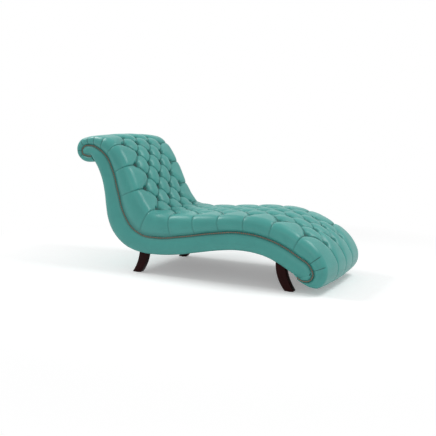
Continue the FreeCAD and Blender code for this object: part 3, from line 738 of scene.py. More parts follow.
        first = np.abs(np.sin(math.pi * (t + s) / 2))
        second = np.abs(np.sin(math.pi * (t - s) / 2))
        across = arch((s - 2) / 2)
        zones = (
            (side, side_out, np.abs(np.cos(math.pi * t / 2))),
            (foot, foot_out, np.abs(np.sin(math.pi * s / 2))),
            (head, head_out, np.abs(np.sin(math.pi * s / 2))),
            (foot_corner, (s + t - last - 2) / 2, arch((t - last + 1) / 2) * across),
            (head_corner, (s - t - 2) / 2, arch((1 - t) / 2) * across),
        )
        out = np.zeros_like(first)
        for zone, outward, beside in zones:
            out = np.where(zone, outward, out)
            first = np.where(zone, arch(outward), first)
            second = np.where(zone, beside, second)
        fade = smooth((out - self.fade_from) / self.fade_over)
        to_head = np.clip((1 - t) / self.head_fade, 0, 1)
        far = mix(self.side_pleat_depth, self.head_pleat_depth, to_head)
        share = mix(1.0, far / self.pleat_depth, fade)
        pillow = (first * second) ** mix(*self.roundness, fade)
        along = (first ** 2 + second ** 2 - first ** 2 * second ** 2) ** self.valley
        drawn = share * (
            self.pit_depth - (self.pit_depth - self.pleat_depth) * along
            - self.pleat_depth * pillow)
        nearest_t = np.clip(np.round(t), 0, last)
        parity = nearest_t % 2
        nearest_s = np.clip(2 * np.round((s - parity) / 2) + parity, parity, 2 + parity)
        reach = np.hypot((s - nearest_s) * self.button_spacing / 2, (t - nearest_t) * self.pitch)
        well = 1 - smooth((reach - self.well_radius) / self.well_blend)
        drawn = mix(drawn, self.pit_depth, well)
        # Painted shade along the pleats, fainter where they are shallow.
        pleat = (1 - pillow) ** self.pleat_line * mix(*self.pleat_shades, fade)
        pleat = np.clip(pleat * share ** self.shallow_shade, 0, 1)
        # Painted shadow in the pits round the buttons.
        shadow = 1 - smooth((reach - self.well_radius) / self.pit_shadow)
        return drawn, np.maximum(pleat, shadow)

    def gathered(self, round_it: np.ndarray) -> tuple[np.ndarray, np.ndarray]:
        """Small gathers in the pad's sides at the scroll and the foot.

        Args:
            round_it: how far round the shoulder a point lies, from 0 to 1.

        Returns:
            Depths in millimetres and shares of painted shade in the gathers.
        """
        total = np.zeros_like(round_it)
        shade = np.zeros_like(round_it)
        reach = smooth((round_it - self.gather_from) / self.gather_over)
        for place in self.gathers:
            row = int(np.argmin(np.linalg.norm(self.sections.foot - place, axis=1)))
            away = np.abs(self.marks - self.marks[row])[:, None] / self.gather_width
            dip = 1 - np.clip(away, 0, 1) ** self.gather_shape
            total += dip * reach * self.gather_depth
            # Painted shade along each gather.
            shade += np.clip(1 - away * self.gather_line, 0, 1) * reach
        return total, np.clip(shade, 0, 1)

    def build(self) -> None:
        """Makes the pad."""
        y, h, out_y, out_h, length = self.profile()
        half = y.shape[1]
        columns = np.arange(half)
        flat = self.flat_columns
        s = length / (self.button_spacing / 2)
        s[:, flat + 1:] += flat / self.steps - s[:, [flat]]
        s[:, :flat + 1] = columns[:flat + 1] / self.steps
        drawn, pleat = self.hollows(np.broadcast_to(self.t[:, None], y.shape), s)
        around = (columns - flat - self.edge_columns) / self.shoulder_columns
        dips, shades = self.gathered(np.clip(around, 0, 1)[None, :] + 0 * y)
        hem = np.clip((half - 1 - columns) / self.hem_columns, 0, 1)[None, :] + 0 * y
        drawn = (drawn + dips) * self.scale * mix(self.hem_draw, 1.0, hem)
        drawn[:, -1] = 0
        spots = self.sections.spots(y, h) / MM
        for size, wave, seed in self.waves:
            drawn += size * ripple(spots, wave, seed) * hem
        y, h = y - out_y * drawn, h - out_h * drawn
        floor_y = np.linspace(PANEL_OUTER, -PANEL_OUTER, self.floor_columns + 2)[1:-1]
        floor_y = np.broadcast_to(floor_y, (len(y), len(floor_y)))

        def whole(values: np.ndarray, under: np.ndarray, sign: int = 1) -> np.ndarray:
            """Values round the whole pad, from those of one side and of the floor."""
            return np.concatenate([sign * values[:, :0:-1], values, under], 1)

        zeros = np.zeros_like(floor_y)
        rings = self.sections.spots(whole(y, floor_y, -1), whole(h, zeros + self.gap))
        # Painted shade stored on the points: in the pleats, pits and gathers, and along the hem
        # where the leather tucks in.
        piece = padded_skin(
            "tufted_pad", rings,
            {"painted_shade": whole(np.maximum(pleat, shades), zeros), "tuck_shade": whole(1 - hem, zeros)},
            self.cuts(rings.shape[1], half))
        self.settle(piece, Finish.LEATHER, ("tufted_cover", "foam_core"), fill=0.85)

    def cuts(self, columns: int, half: int) -> np.ndarray:
        """Which way each cell of the pad is cut, so that edges follow the pleats.

        Args:
            columns: points in a ring.
            half: points from the middle to one lower edge.

        Returns:
            One flag for each cell.
        """
        middle_t = (self.t[:-1, None] + self.t[1:, None]) / 2
        s = (np.arange(columns) - (half - 1) + 0.5)[None, :] / self.steps
        first = np.abs((middle_t + s) / 2 - np.round((middle_t + s) / 2))
        second = np.abs((middle_t - s) / 2 - np.round((middle_t - s) / 2))
        return first > second

    def button_places(self) -> list[Matrix]:
        """Seats of the buttons, each turned to the crown there.

        Returns:
            A place for each button, in metres.
        """
        places = []
        for row in range(self.rows.count):
            mark = self.rows.mark(np.array([row]))
            before = max(int(np.searchsorted(self.marks, mark[0])) - 2, 0)
            low = DECK.nearest(self.sections.foot[before], DECK.length)
            section = Sections(mark, CROWN, DECK, low=low, shift=self.shift)
            depth = float(section.depth[0])
            scale = min(depth / self.full_depth, 1.0)
            flat_end = PANEL_OUTER + self.side_reach * scale - self.shoulder_radius
            turn = Matrix.Rotation(-float(section.heading[0]), 4, "Y")
            for column in (-1, 0, 1) if row % 2 == 0 else (-1.5, -0.5, 0.5, 1.5):
                y = column * self.button_spacing
                fall = self.shoulder_drop * (y / flat_end) ** 2
                h = depth - (fall + self.pit_depth - self.button_lift) * scale
                spot = section.spots(np.array([[y]]), np.array([[h]]))[0, 0]
                places.append(Matrix.Translation(Vector(spot)) @ turn)
        return places


@dataclass
class Buttons(Piece):
    """Leather-covered buttons, made once and set in every pit.

    Attributes:
        pad: the pad that they sink into.
    """

    pad: TuftedPad
    radius: float = 0.0085
    height: float = 0.0058
    sunk: float = 0.3
    segments: int = 20
    rings: int = 12
    shade: float = 0.95

    def build(self) -> None:
        """Sets a button in each pit."""
        button = dome(self.radius, self.height, self.segments, self.rings, self.sunk)
        piece = scatter("tufting_button_set", button, self.pad.button_places())
        # Painted shade: the buttons are darkened as if in the shadow of their pits.
        shade = piece.data.attributes.new("painted_shade", "FLOAT", "POINT")
        shade.data.foreach_set("value", [self.shade] * len(piece.data.vertices))
        self.settle(piece, Finish.LEATHER, ("tufting_buttons",), fill=1.0)


@dataclass
class Fascia(SidePiece):
    """A side's padded leather band between the nails and the underside."""

    step: float = 7.0
    trim_width: float = 9.2
    tip: float = 2.0
    crown: float = 18.0
    squareness: float = 2.4
    roll: float = 0.62
    edge: float = 0.6
    back_gap: float = 0.3
    full_width: float = 80.0
    uneven: float = 0.45
    wave: float = 170.0
    hem: float = 9.0
    hem_shade: float = 0.35
    columns: int = 26
    back_columns: int = 4

    def build(self) -> None:
        """Makes the band as one crowned, closed form."""
        end = FASCIA_LOW.length - self.tip
        marks = np.linspace(self.tip, end, round(end / self.step))
        low = DECK.nearest(FASCIA_LOW.at(0.0)[0], DECK.length / 2)
        cuts = Sections(marks, FASCIA_LOW, DECK, offset=-self.trim_width, low=low, shift=self.shift)
        width = cuts.depth[:, None]
        share = (1 - np.cos(np.linspace(0, math.pi, self.columns)))[None, :] / 2
        crown = self.crown * np.minimum(width / self.full_width, 1)
        rise = crown * crowned(2 * share - 1, self.squareness, self.roll)
        h = share * width + 0 * rise
        y = PANEL_OUTER + self.edge + rise
        waves = ripple(cuts.spots(y, h) / MM, self.wave, 2.2 + self.side)
        y = y + self.uneven * waves * (rise / self.crown)
        back_h = width * np.linspace(0.8, 0.2, self.back_columns)[None, :]
        full_h = np.concatenate([h, back_h], 1)
        full_y = np.concatenate([y, np.full_like(back_h, PANEL_OUTER + self.back_gap)], 1)
        rings = cuts.spots(full_y * self.side, full_h)
        # Painted shade along both edges of the band, where it tucks in.
        near_edge = 1 - smooth(np.minimum(share, 1 - share) * width / self.hem)
        tuck_shade = np.concatenate([near_edge, np.ones_like(back_h)], 1)
        piece = padded_skin(
            f"fascia_band_{self.hand}", rings, {"painted_shade": tuck_shade * self.hem_shade, "tuck_shade": tuck_shade})
        nodes = (f"fascia_leather_{self.hand}", f"fascia_padding_{self.hand}")
        self.settle(piece, Finish.LEATHER, nodes, fill=0.8)


@dataclass
class OuterBack(Piece):
    """The padded leather panel behind the back, from the scroll to under the seat."""

    start: float = 6.0
    end: float = 640.0
    step: float = 8.0
    crown: float = 5.5
    squareness: float = 3.2
    roll: float = 0.6
    gap: float = 0.3
    edge: float = 1.6
    end_steepness: float = 14.0
    uneven: float = 0.4
    wave: float = 210.0
    hem: float = 7.0
    hem_shade: float = 0.4
    columns: int = 61
    inner_columns: int = 9
    inner_share: float = 0.96

    def build(self) -> None:
        """Makes the panel as one crowned, closed form."""
        marks = np.linspace(self.start, self.end, round((self.end - self.start) / self.step))
        share = -np.cos(np.linspace(0, math.pi, self.columns))[None, :]
        run = ((marks - self.start) / (self.end - self.start))[:, None]
        ends = smooth(np.minimum(run, 1 - run) * self.end_steepness)
        rise = self.crown * ends * crowned(share, self.squareness, self.roll)
        y = share * PANEL_OUTER + 0 * rise
        centre = BACK.at(marks)
        spots = np.stack([centre[:, :1] + 0 * y, y, centre[:, 1:2] + 0 * y], -1)
        waves = ripple(spots, self.wave, 3.1)
        lift = self.gap + self.edge + rise + self.uneven * waves * (rise / self.crown)
        inner = np.linspace(self.inner_share, -self.inner_share, self.inner_columns)
        inner = inner[None, :] * PANEL_OUTER + 0 * run
        full_y = np.concatenate([y, inner], 1)
        full_lift = np.concatenate([lift, np.full_like(inner, self.gap)], 1)
        x = centre[:, :1] + np.sin(centre[:, 2:]) * full_lift + self.shift
        z = centre[:, 1:2] - np.cos(centre[:, 2:]) * full_lift
        # Painted shade along the panel's edges, where it tucks in.
        near = 1 - smooth((PANEL_OUTER - np.abs(full_y)) / self.hem)
        piece = padded_skin(
            "outer_back_panel", np.stack([x, full_y, z], -1) * MM,
            {"painted_shade": near * self.hem_shade, "tuck_shade": near})
        self.settle(piece, Finish.LEATHER, ("outer_back_leather",), fill=0.5)


@dataclass
class NailRow(SidePiece):
    """Domed nails in one row along a side's deck line."""

    pitch: float = 13.0
    radius: float = 0.0038
    height: float = 0.0028
    segments: int = 12
    rings: int = 8
    line: float = 5.0
    seat: float = 308.0

    def build(self) -> None:
        """Sets the row of nails."""
        count = round(DECK.length / self.pitch)
        marks = (np.arange(count) + 0.5) * DECK.length / count
        turn = Matrix.Rotation(-math.pi / 2 * self.side, 4, "X")
        places = []
        for x, z, _ in DECK.at(marks, -self.line):
            spot = Vector((x + self.shift, self.seat * self.side, z)) * MM
            places.append(Matrix.Translation(spot) @ turn)
        nail = dome(self.radius, self.height, self.segments, self.rings)
        piece = scatter(f"nail_row_{self.hand}", nail, places)
        self.settle(piece, Finish.NAIL, (f"trim_nails_{self.hand}",))


@dataclass
class Leg(Piece):
    """A sabre leg with its edges rounded.

    Attributes:
        node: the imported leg's name.
        packed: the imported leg.
    """

    node: str
    packed: bpy.types.Object
    rounding: float = 0.0022
    segments: int = 3
    corner: float = 35.0
    merging: float = 0.00001
    flatness: float = 0.6

    def build(self) -> None:
        """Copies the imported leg, merges its corners and rounds its edges."""
        piece = place_new("sabre_" + self.node, self.packed.data.copy())
        edit(
            piece,
            lambda: bpy.ops.mesh.remove_doubles(threshold=self.merging),
            lambda: bpy.ops.mesh.dissolve_limited(angle_limit=math.radians(self.flatness)))
        bevel = piece.modifiers.new("Rounding", "BEVEL")
        bevel.width = self.rounding
        bevel.segments = self.segments
        bevel.limit_method = "ANGLE"
        bevel.angle_limit = math.radians(self.corner)
        bpy.ops.object.modifier_apply(modifier=bevel.name)
        ease(self.corner)
        self.settle(piece, Finish.MAHOGANY, (self.node,))


Colour = tuple[float, float, float]
FLOAT, COLOUR, VECTOR = "NodeSocketFloat", "NodeSocketColor", "NodeSocketVector"
WHITE = (1.0, 1.0, 1.0, 1.0)
NODE_STEP = 190
NODE_ROWS = 4


def paint(colour: Colour) -> tuple[float, float, float, float]:
    """A screen colour from 0 to 255 as Blender's linear colour.

    Args:
        colour: red, green and blue.

    Returns:
        Linear red, green and blue, and a full alpha.
    """
    def linear(value: float) -> float:
        """One channel, from screen to linear."""
        value = value / 255
        return value / 12.92 if value <= 0.04045 else ((value + 0.055) / 1.055) ** 2.4
    return (linear(colour[0]), linear(colour[1]), linear(colour[2]), 1.0)


class Wiring:
    """A node tree that is built up node by node."""

    def __init__(self, tree: bpy.types.NodeTree) -> None:
        """Empties a tree and starts on it."""
        self.tree = tree
        self.tree.nodes.clear()

    def add(
            self, kind: str, inputs: dict[str | int, object] | None = None,
            **settings: object) -> bpy.types.Node:
        """Adds a node.

        Args:
            kind: Blender's node type.
            inputs: a value or a socket to link for each input.
            settings: the node's own settings.

        Returns:
            The node.
        """
        count = len(self.tree.nodes)
        node = self.tree.nodes.new(kind)
        node.location = (count * NODE_STEP, -(count % NODE_ROWS) * NODE_STEP)
        for key, value in settings.items():
            setattr(node, key, value)
        self.fill(node, inputs or {})
        return node

    def feed(self, socket: bpy.types.NodeSocket, value: object) -> None:
        """Links a socket or sets its value.

        Args:
            socket: an input.
            value: another node's socket, or a plain value.
        """
        if isinstance(value, bpy.types.NodeSocket):
            self.tree.links.new(value, socket)
        else:
            socket.default_value = value

    def fill(self, node: bpy.types.Node, inputs: dict[str | int, object]) -> None:
        """Feeds some of a node's inputs."""
        for key, value in inputs.items():
            self.feed(node.inputs[key], value)

    def math(self, operation: str, *values: object, clamp: bool = False) -> bpy.types.NodeSocket:
        """Result of a sum on numbers or sockets."""
        inputs = dict(enumerate(values))
        return self.add(
            "ShaderNodeMath", inputs, operation=operation, use_clamp=clamp).outputs[0]

    def blend(self, share: object, first: object, second: object) -> bpy.types.NodeSocket:
        """Mix of two colours."""
        inputs = {"Factor": share, "A": first, "B": second}
        return self.add("ShaderNodeMix", inputs, data_type="RGBA").outputs["Result"]

    def stretch(self, value: object, low: float, high: float,
                to_low: float = 0.0, to_high: float = 1.0) -> bpy.types.NodeSocket:
        """A value moved from one range to another, and held in it."""
        return self.add("ShaderNodeMapRange", {
            "Value": value, "From Min": low, "From Max": high,
            "To Min": to_low, "To Max": to_high}).outputs[0]

    def group(self, tree: bpy.types.NodeTree, **inputs: object) -> bpy.types.NodeOutputs:
        """Results of a node group with its own values.

        Args:
            tree: the group.
            inputs: a value or a socket for each of its inputs.

        Returns:
            The group's outputs.
        """
        node = self.add("ShaderNodeGroup", node_tree=tree)
        self.fill(node, inputs)
        return node.outputs


def new_group(
        name: str, inputs: dict[str, str], outputs: dict[str, str],
        ) -> tuple[Wiring, bpy.types.NodeOutputs, bpy.types.Node]:
    """A shader node group with named sockets.

    Args:
        name: the group's name.
        inputs: type of each input.
        outputs: type of each output.

    Returns:
        The wiring, what is given to the group, and the node of its results.
    """
    tree = bpy.data.node_groups.new(name, "ShaderNodeTree")
    for side, sockets in (("INPUT", inputs), ("OUTPUT", outputs)):
        for key, kind in sockets.items():
            tree.interface.new_socket(key, in_out=side, socket_type=kind)
    wiring = Wiring(tree)
    given = wiring.add("NodeGroupInput").outputs
    return wiring, given, wiring.add("NodeGroupOutput")


def grain_group() -> bpy.types.NodeTree:
    """Pebbled leather grain with finer pores and stretch lines.

    Returns:
        The group.
    """
    wiring, given, result = new_group(
        "leather_grain", {"Place": VECTOR, "Cells": FLOAT, "Creasing": FLOAT},
        {"Height": FLOAT, "Pores": FLOAT})
    cells = wiring.add(
        "ShaderNodeTexVoronoi", {"Vector": given["Place"], "Scale": given["Cells"]},
        feature="SMOOTH_F1")
    pebbles = wiring.stretch(cells.outputs["Distance"], 0.1, 0.7)
    fine = wiring.add("ShaderNodeTexNoise", {
        "Vector": given["Place"], "Scale": wiring.math("MULTIPLY", given["Cells"], 0.12),
        "Detail": 5.0, "Roughness": 0.62})
    lines = wiring.stretch(fine.outputs["Fac"], 0.42, 0.6)
    drawn = wiring.math("MULTIPLY", lines, given["Creasing"])
    raised = wiring.math("MULTIPLY", wiring.math("SUBTRACT", 1.0, pebbles), 0.6)
    wiring.fill(result, {"Height": wiring.math("ADD", raised, drawn), "Pores": pebbles})
    return wiring.tree


def mottle_group() -> bpy.types.NodeTree:
    """Two tones that drift into each other, as dye does.

    Returns:
        The group.
    """
    wiring, given, result = new_group(
        "mottle", {"Place": VECTOR, "First": COLOUR, "Second": COLOUR, "Scale": FLOAT},
        {"Colour": COLOUR, "Mask": FLOAT})
    cloud = wiring.add("ShaderNodeTexNoise", {
        "Vector": given["Place"], "Scale": given["Scale"],
        "Detail": 6.0, "Roughness": 0.6, "Distortion": 0.4})
    mask = wiring.stretch(cloud.outputs["Fac"], 0.32, 0.68)
    colour = wiring.blend(mask, given["First"], given["Second"])
    wiring.fill(result, {"Colour": colour, "Mask": mask})
    return wiring.tree


def wear_and_highlight_group() -> bpy.types.NodeTree:
    """Rubbed edges: where a surface stands out, it turns to the worn tone; on the leather this is
    also a painted highlight.

    Returns:
        The group.
    """
    wiring, given, result = new_group(
        "edge_wear_and_highlight", {"Colour": COLOUR, "Worn": COLOUR, "Amount": FLOAT}, {"Colour": COLOUR})
    shape = wiring.add("ShaderNodeNewGeometry")
    sharp = wiring.stretch(shape.outputs["Pointiness"], 0.5, 0.56)
    mask = wiring.math("MULTIPLY", sharp, given["Amount"], clamp=True)
    wiring.fill(result, {"Colour": wiring.blend(mask, given["Colour"], given["Worn"])})
    return wiring.tree


def wood_group() -> bpy.types.NodeTree:
    """Straight grain with growth rings and pores.

    Returns:
        The group.
    """
    wiring, given, result = new_group(
        "wood_grain", {"Place": VECTOR, "Light": COLOUR, "Dark": COLOUR, "Rings": FLOAT},
        {"Colour": COLOUR, "Height": FLOAT})
    rings = wiring.add("ShaderNodeTexWave", {
        "Vector": given["Place"], "Scale": given["Rings"],
        "Distortion": 5.0, "Detail": 3.0, "Detail Scale": 1.4},
        wave_type="BANDS", bands_direction="X")
    pores = wiring.add("ShaderNodeTexNoise", {
        "Vector": given["Place"], "Scale": wiring.math("MULTIPLY", given["Rings"], 7.0),
        "Detail": 4.0, "Roughness": 0.7})
    fine = wiring.stretch(pores.outputs["Fac"], 0.35, 0.65)
    share = wiring.math("ADD", wiring.math("MULTIPLY", rings.outputs["Fac"], 0.65),
                        wiring.math("MULTIPLY", fine, 0.35))
    colour = wiring.blend(share, given["Dark"], given["Light"])
    wiring.fill(result, {"Colour": colour, "Height": share})
    return wiring.tree


def weave_group() -> bpy.types.NodeTree:
    """Plain weave of crossing threads.

    Returns:
        The group.
    """
    wiring, given, result = new_group(
        "weave", {"Place": VECTOR, "Threads": FLOAT}, {"Height": FLOAT, "Gaps": FLOAT})
    threads = []
    for direction in ("X", "Y"):
        wave = wiring.add("ShaderNodeTexWave", {
            "Vector": given["Place"], "Scale": given["Threads"],
            "Distortion": 0.6, "Detail": 1.0}, wave_type="BANDS", bands_direction=direction)
        threads.append(wave.outputs["Fac"])
    height = wiring.math("MAXIMUM", *threads)
    wiring.fill(result, {"Height": height, "Gaps": wiring.stretch(height, 0.3, 0.0)})
    return wiring.tree


class Library:
    """The part's materials, each built once when it is first asked for."""

    def __init__(self) -> None:
        """Builds the shared node groups."""
        self.grain = grain_group()
        self.mottle = mottle_group()
        self.wear = wear_and_highlight_group()
        self.wood = wood_group()
        self.weave = weave_group()
        self.made: dict[Finish, bpy.types.Material] = {}

    def get(self, finish: Finish) -> bpy.types.Material:
        """Makes a finish's material where it is first asked for.

        Args:
            finish: one of the finishes.

        Returns:
            The material for a slot.
        """
        if finish not in self.made:
            surface = Surface(finish.value, self)
            surface.fill(surface.shader, RECIPES[finish].looks(surface))
            self.made[finish] = surface.material
        return self.made[finish]


class Surface(Wiring):
    """A material's nodes around its shader."""

    def __init__(self, name: str, library: Library) -> None:
        """Starts an empty material.

        Args:
            name: the material's name.
            library: the shared node groups.
        """
        self.material = bpy.data.materials.new(name)
        self.material.use_nodes = True
        super().__init__(self.material.node_tree)
        self.library = library
        output = self.add("ShaderNodeOutputMaterial")
        self.shader = self.add("ShaderNodeBsdfPrincipled")
        self.feed(output.inputs["Surface"], self.shader.outputs["BSDF"])
        self.place = self.add("ShaderNodeTexCoord").outputs["Object"]

    def mottled(self, first: Colour, second: Colour, scale: float) -> bpy.types.NodeOutputs:
        """Two tones that drift into each other, and how far they do."""
        return self.group(self.library.mottle, Place=self.place, First=paint(first),
                          Second=paint(second), Scale=scale)

    def rubbed(self, colour: object, tone: Colour, amount: float) -> bpy.types.NodeSocket:
        """A colour that turns to a worn tone where the surface stands out; on the leather this is
        also a painted highlight.
        """
        return self.group(
            self.library.wear, Colour=colour, Worn=paint(tone), Amount=amount)["Colour"]

    def bump(self, height: object, strength: float, depth: float) -> bpy.types.NodeSocket:
        """A raised normal, from a height and its depth in metres."""
        return self.add("ShaderNodeBump", {
            "Height": height, "Strength": strength, "Distance": depth}).outputs["Normal"]


@dataclass(frozen=True)
class Recipe:
    """A finish in two tones, the base of all finishes.

    Attributes:
        tone: its main colour.
        second: the colour that drifts into it or lies between.
    """

    tone: Colour
    second: Colour

    def looks(self, surface: Surface) -> dict[str, object]:
        """What goes into the shader's inputs, as values or as sockets of new nodes."""
        raise NotImplementedError


@dataclass(frozen=True)
class LeatherFinish(Recipe):
    """Dyed leather, with painted shade where it is drawn in and at tucked edges, and paler where it
    is drawn tight over raised edges, as wear with a painted highlight.
    """

    painted_shade: Colour
    stretch_pale_and_highlight: Colour
    grain: float = 620.0
    depth: float = 0.00022
    roughness: float = 0.34

    def looks(self, surface: Surface) -> dict[str, object]:
        """Dye, wear with a painted highlight on raised edges, painted shade in pleats and at tucked
        edges, and grain.

        Args:
            surface: the material's nodes.

        Returns:
            Values and sockets for the shader's inputs.
        """
        dye = surface.mottled(self.tone, self.second, 7.0)["Colour"]
        # Raised edges turn paler: wear, and a painted highlight.
        worn = surface.rubbed(dye, self.stretch_pale_and_highlight, 0.35)
        drawn = surface.add("ShaderNodeAttribute", attribute_name="painted_shade").outputs["Fac"]
        tucked = surface.add("ShaderNodeAttribute", attribute_name="tuck_shade").outputs["Fac"]
        # Painted shade: the dark shade colour in pleats, pits and gathers and at tucked edges.
        shade = surface.math("MAXIMUM", surface.math("POWER", drawn, 1.6),
                             surface.math("MULTIPLY", tucked, 0.35))
        grain = surface.group(
            surface.library.grain, Place=surface.place, Cells=self.grain, Creasing=0.7)
        rough = surface.math("ADD", self.roughness, surface.math("MULTIPLY", grain["Pores"], 0.12))
        rough = surface.math("ADD", rough, surface.math("MULTIPLY", shade, 0.25), clamp=True)
        return {
            "Base Color": surface.blend(shade, worn, paint(self.painted_shade)), "Roughness": rough,
            "Normal": surface.bump(grain["Height"], 0.55, self.depth),
            "Specular IOR Level": 0.5, "Coat Weight": 0.06, "Coat Roughness": 0.3}


@dataclass(frozen=True)
class WoodFinish(Recipe):
    """Timber along one of the axes, bare or lacquered."""

    worn: Colour
    rings: float = 45.0
    along: int = 0
    roughness: float = 0.6
    shine: float = 0.4
    depth: float = 0.0002

    def looks(self, surface: Surface) -> dict[str, object]:
        """Grain, rubbed edges and lacquer.

        Args:
            surface: the material's nodes.

        Returns:
            Values and sockets for the shader's inputs.
        """
        squeeze = [1.0, 1.0, 1.0]
        squeeze[self.along] = 0.07
        lined = surface.add("ShaderNodeMapping", {"Vector": surface.place, "Scale": squeeze})
        grain = surface.group(
            surface.library.wood, Place=lined.outputs[0], Light=paint(self.tone),
            Dark=paint(self.second), Rings=self.rings)
        rough = surface.stretch(
            grain["Height"], 0, 1, self.roughness + 0.08, self.roughness - 0.05)
        return {
            "Base Color": surface.rubbed(grain["Colour"], self.worn, 0.5), "Roughness": rough,
            "Normal": surface.bump(grain["Height"], 0.35, self.depth),
            "Specular IOR Level": self.shine}


@dataclass(frozen=True)
class MetalFinish(Recipe):
    """Wire, plate or nail heads, with a stained second tone."""

    roughness: float = 0.4

    def looks(self, surface: Surface) -> dict[str, object]:
        """Stained metal with rubbed edges.

        Args:
            surface: the material's nodes.

        Returns:
            Values and sockets for the shader's inputs.
        """
        stain = surface.mottled(self.tone, self.second, 160.0)
        return {
            "Base Color": surface.rubbed(stain["Colour"], self.tone, 0.6),
            "Roughness": surface.stretch(
                stain["Mask"], 0, 1, self.roughness, self.roughness + 0.16),
            "Metallic": 1.0}


@dataclass(frozen=True)
class ClothFinish(Recipe):
    """Woven, felted, foamed or pressed stuff."""

    threads: float = 500.0
    depth: float = 0.0003
    roughness: float = 0.9

    def looks(self, surface: Surface) -> dict[str, object]:
        """Threads over two tones.

        Args:
            surface: the material's nodes.

        Returns:
            Values and sockets for the shader's inputs.
        """
        tone = surface.mottled(self.tone, self.second, 90.0)["Colour"]
        weave = surface.group(surface.library.weave, Place=surface.place, Threads=self.threads)
        return {
            "Base Color": surface.blend(weave["Gaps"], tone, paint(self.second)),
            "Normal": surface.bump(weave["Height"], 0.7, self.depth),
            "Roughness": self.roughness}


RECIPES: dict[Finish, Recipe] = {
    # Leather: its third colour is painted shade for pleats, pits and tucked edges; its fourth is
    # the paler tone of raised edges, wear with a painted highlight.
    Finish.LEATHER: LeatherFinish((66, 160, 152), (60, 151, 144), (16, 40, 38), (104, 182, 174)),
    # Welt: a darker teal that is painted shade of the valley along the nail line.
    Finish.WELT: LeatherFinish((48, 104, 100), (42, 94, 90), (16, 40, 40), (80, 140, 134)),
    Finish.NAIL: MetalFinish((168, 118, 92), (92, 60, 46), 0.36),
    Finish.MAHOGANY: WoodFinish((38, 8, 8), (22, 3, 4), (46, 12, 11), 55.0, 2, 0.42, 0.08),
    Finish.PLYWOOD: WoodFinish((205, 172, 128), (176, 140, 98), (214, 186, 146), 30.0, 0),
    Finish.HARDWOOD: WoodFinish((190, 152, 108), (150, 112, 74), (204, 170, 128), 40.0, 1),
    Finish.SPRING: MetalFinish((150, 150, 152), (92, 90, 88), 0.4),
    Finish.ZINC: MetalFinish((190, 192, 196), (150, 152, 156), 0.34),
    Finish.FOAM: ClothFinish((236, 224, 178), (222, 208, 160), 900.0),
    Finish.COTTON: ClothFinish((226, 221, 208), (206, 200, 186), 700.0, 0.0006),
    Finish.HESSIAN: ClothFinish((164, 132, 88), (112, 86, 54), 240.0, 0.0006),
    Finish.BOARD: ClothFinish((134, 126, 114), (112, 104, 94), 1200.0, 0.00015),
    Finish.DUST: ClothFinish((30, 30, 32), (18, 18, 20), 800.0, 0.0002),
    Finish.GLIDE: ClothFinish((28, 28, 28), (20, 20, 20), 1500.0, 0.0001, 0.5),
}


def dress_packed(
        nodes: dict[str, bpy.types.Object], record: dict[str, object], library: Library) -> None:
    """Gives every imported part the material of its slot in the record.

    The leather is pulled over a side panel's outer face and rim.

    Args:
        nodes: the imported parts.
        record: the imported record.
        library: the materials.
    """
    slots = {entry["node"]: entry["material_slot"] for entry in record["subparts"]}
    for name, obj in nodes.items():
        obj.data.materials.clear()
        obj.data.materials.append(library.get(Finish(slots[name])))
        if name.startswith("side_panel"):
            obj.data.materials.append(library.get(Finish.LEATHER))
            outward = math.copysign(1.0, obj.data.vertices[0].co.y)
            for face in obj.data.polygons:
                face.material_index = int(face.normal.y * outward > -0.5)
        LOG.info("%s: %s", name, slots[name])


@dataclass(frozen=True)
class Lamp:
    """A soft rectangular lamp.

    Attributes:
        name: the lamp's name.
        place: where it hangs, in metres.
        size: its width and height.
        power: its power in watts.
        target: what it points at.
    """

    name: str
    place: tuple[float, float, float]
    size: tuple[float, float]
    power: float
    target: tuple[float, float, float] = (0.0, 0.0, 0.4)

    def build(self) -> None:
        """Hangs the lamp."""
        data = bpy.data.lights.new(self.name, "AREA")
        data.shape = "RECTANGLE"
        data.size, data.size_y = self.size
        data.energy = self.power
        lamp = place_new(self.name, data)
        lamp.location = self.place
        aim = Vector(self.target) - Vector(self.place)
        lamp.rotation_euler = aim.to_track_quat("-Z", "Y").to_euler()


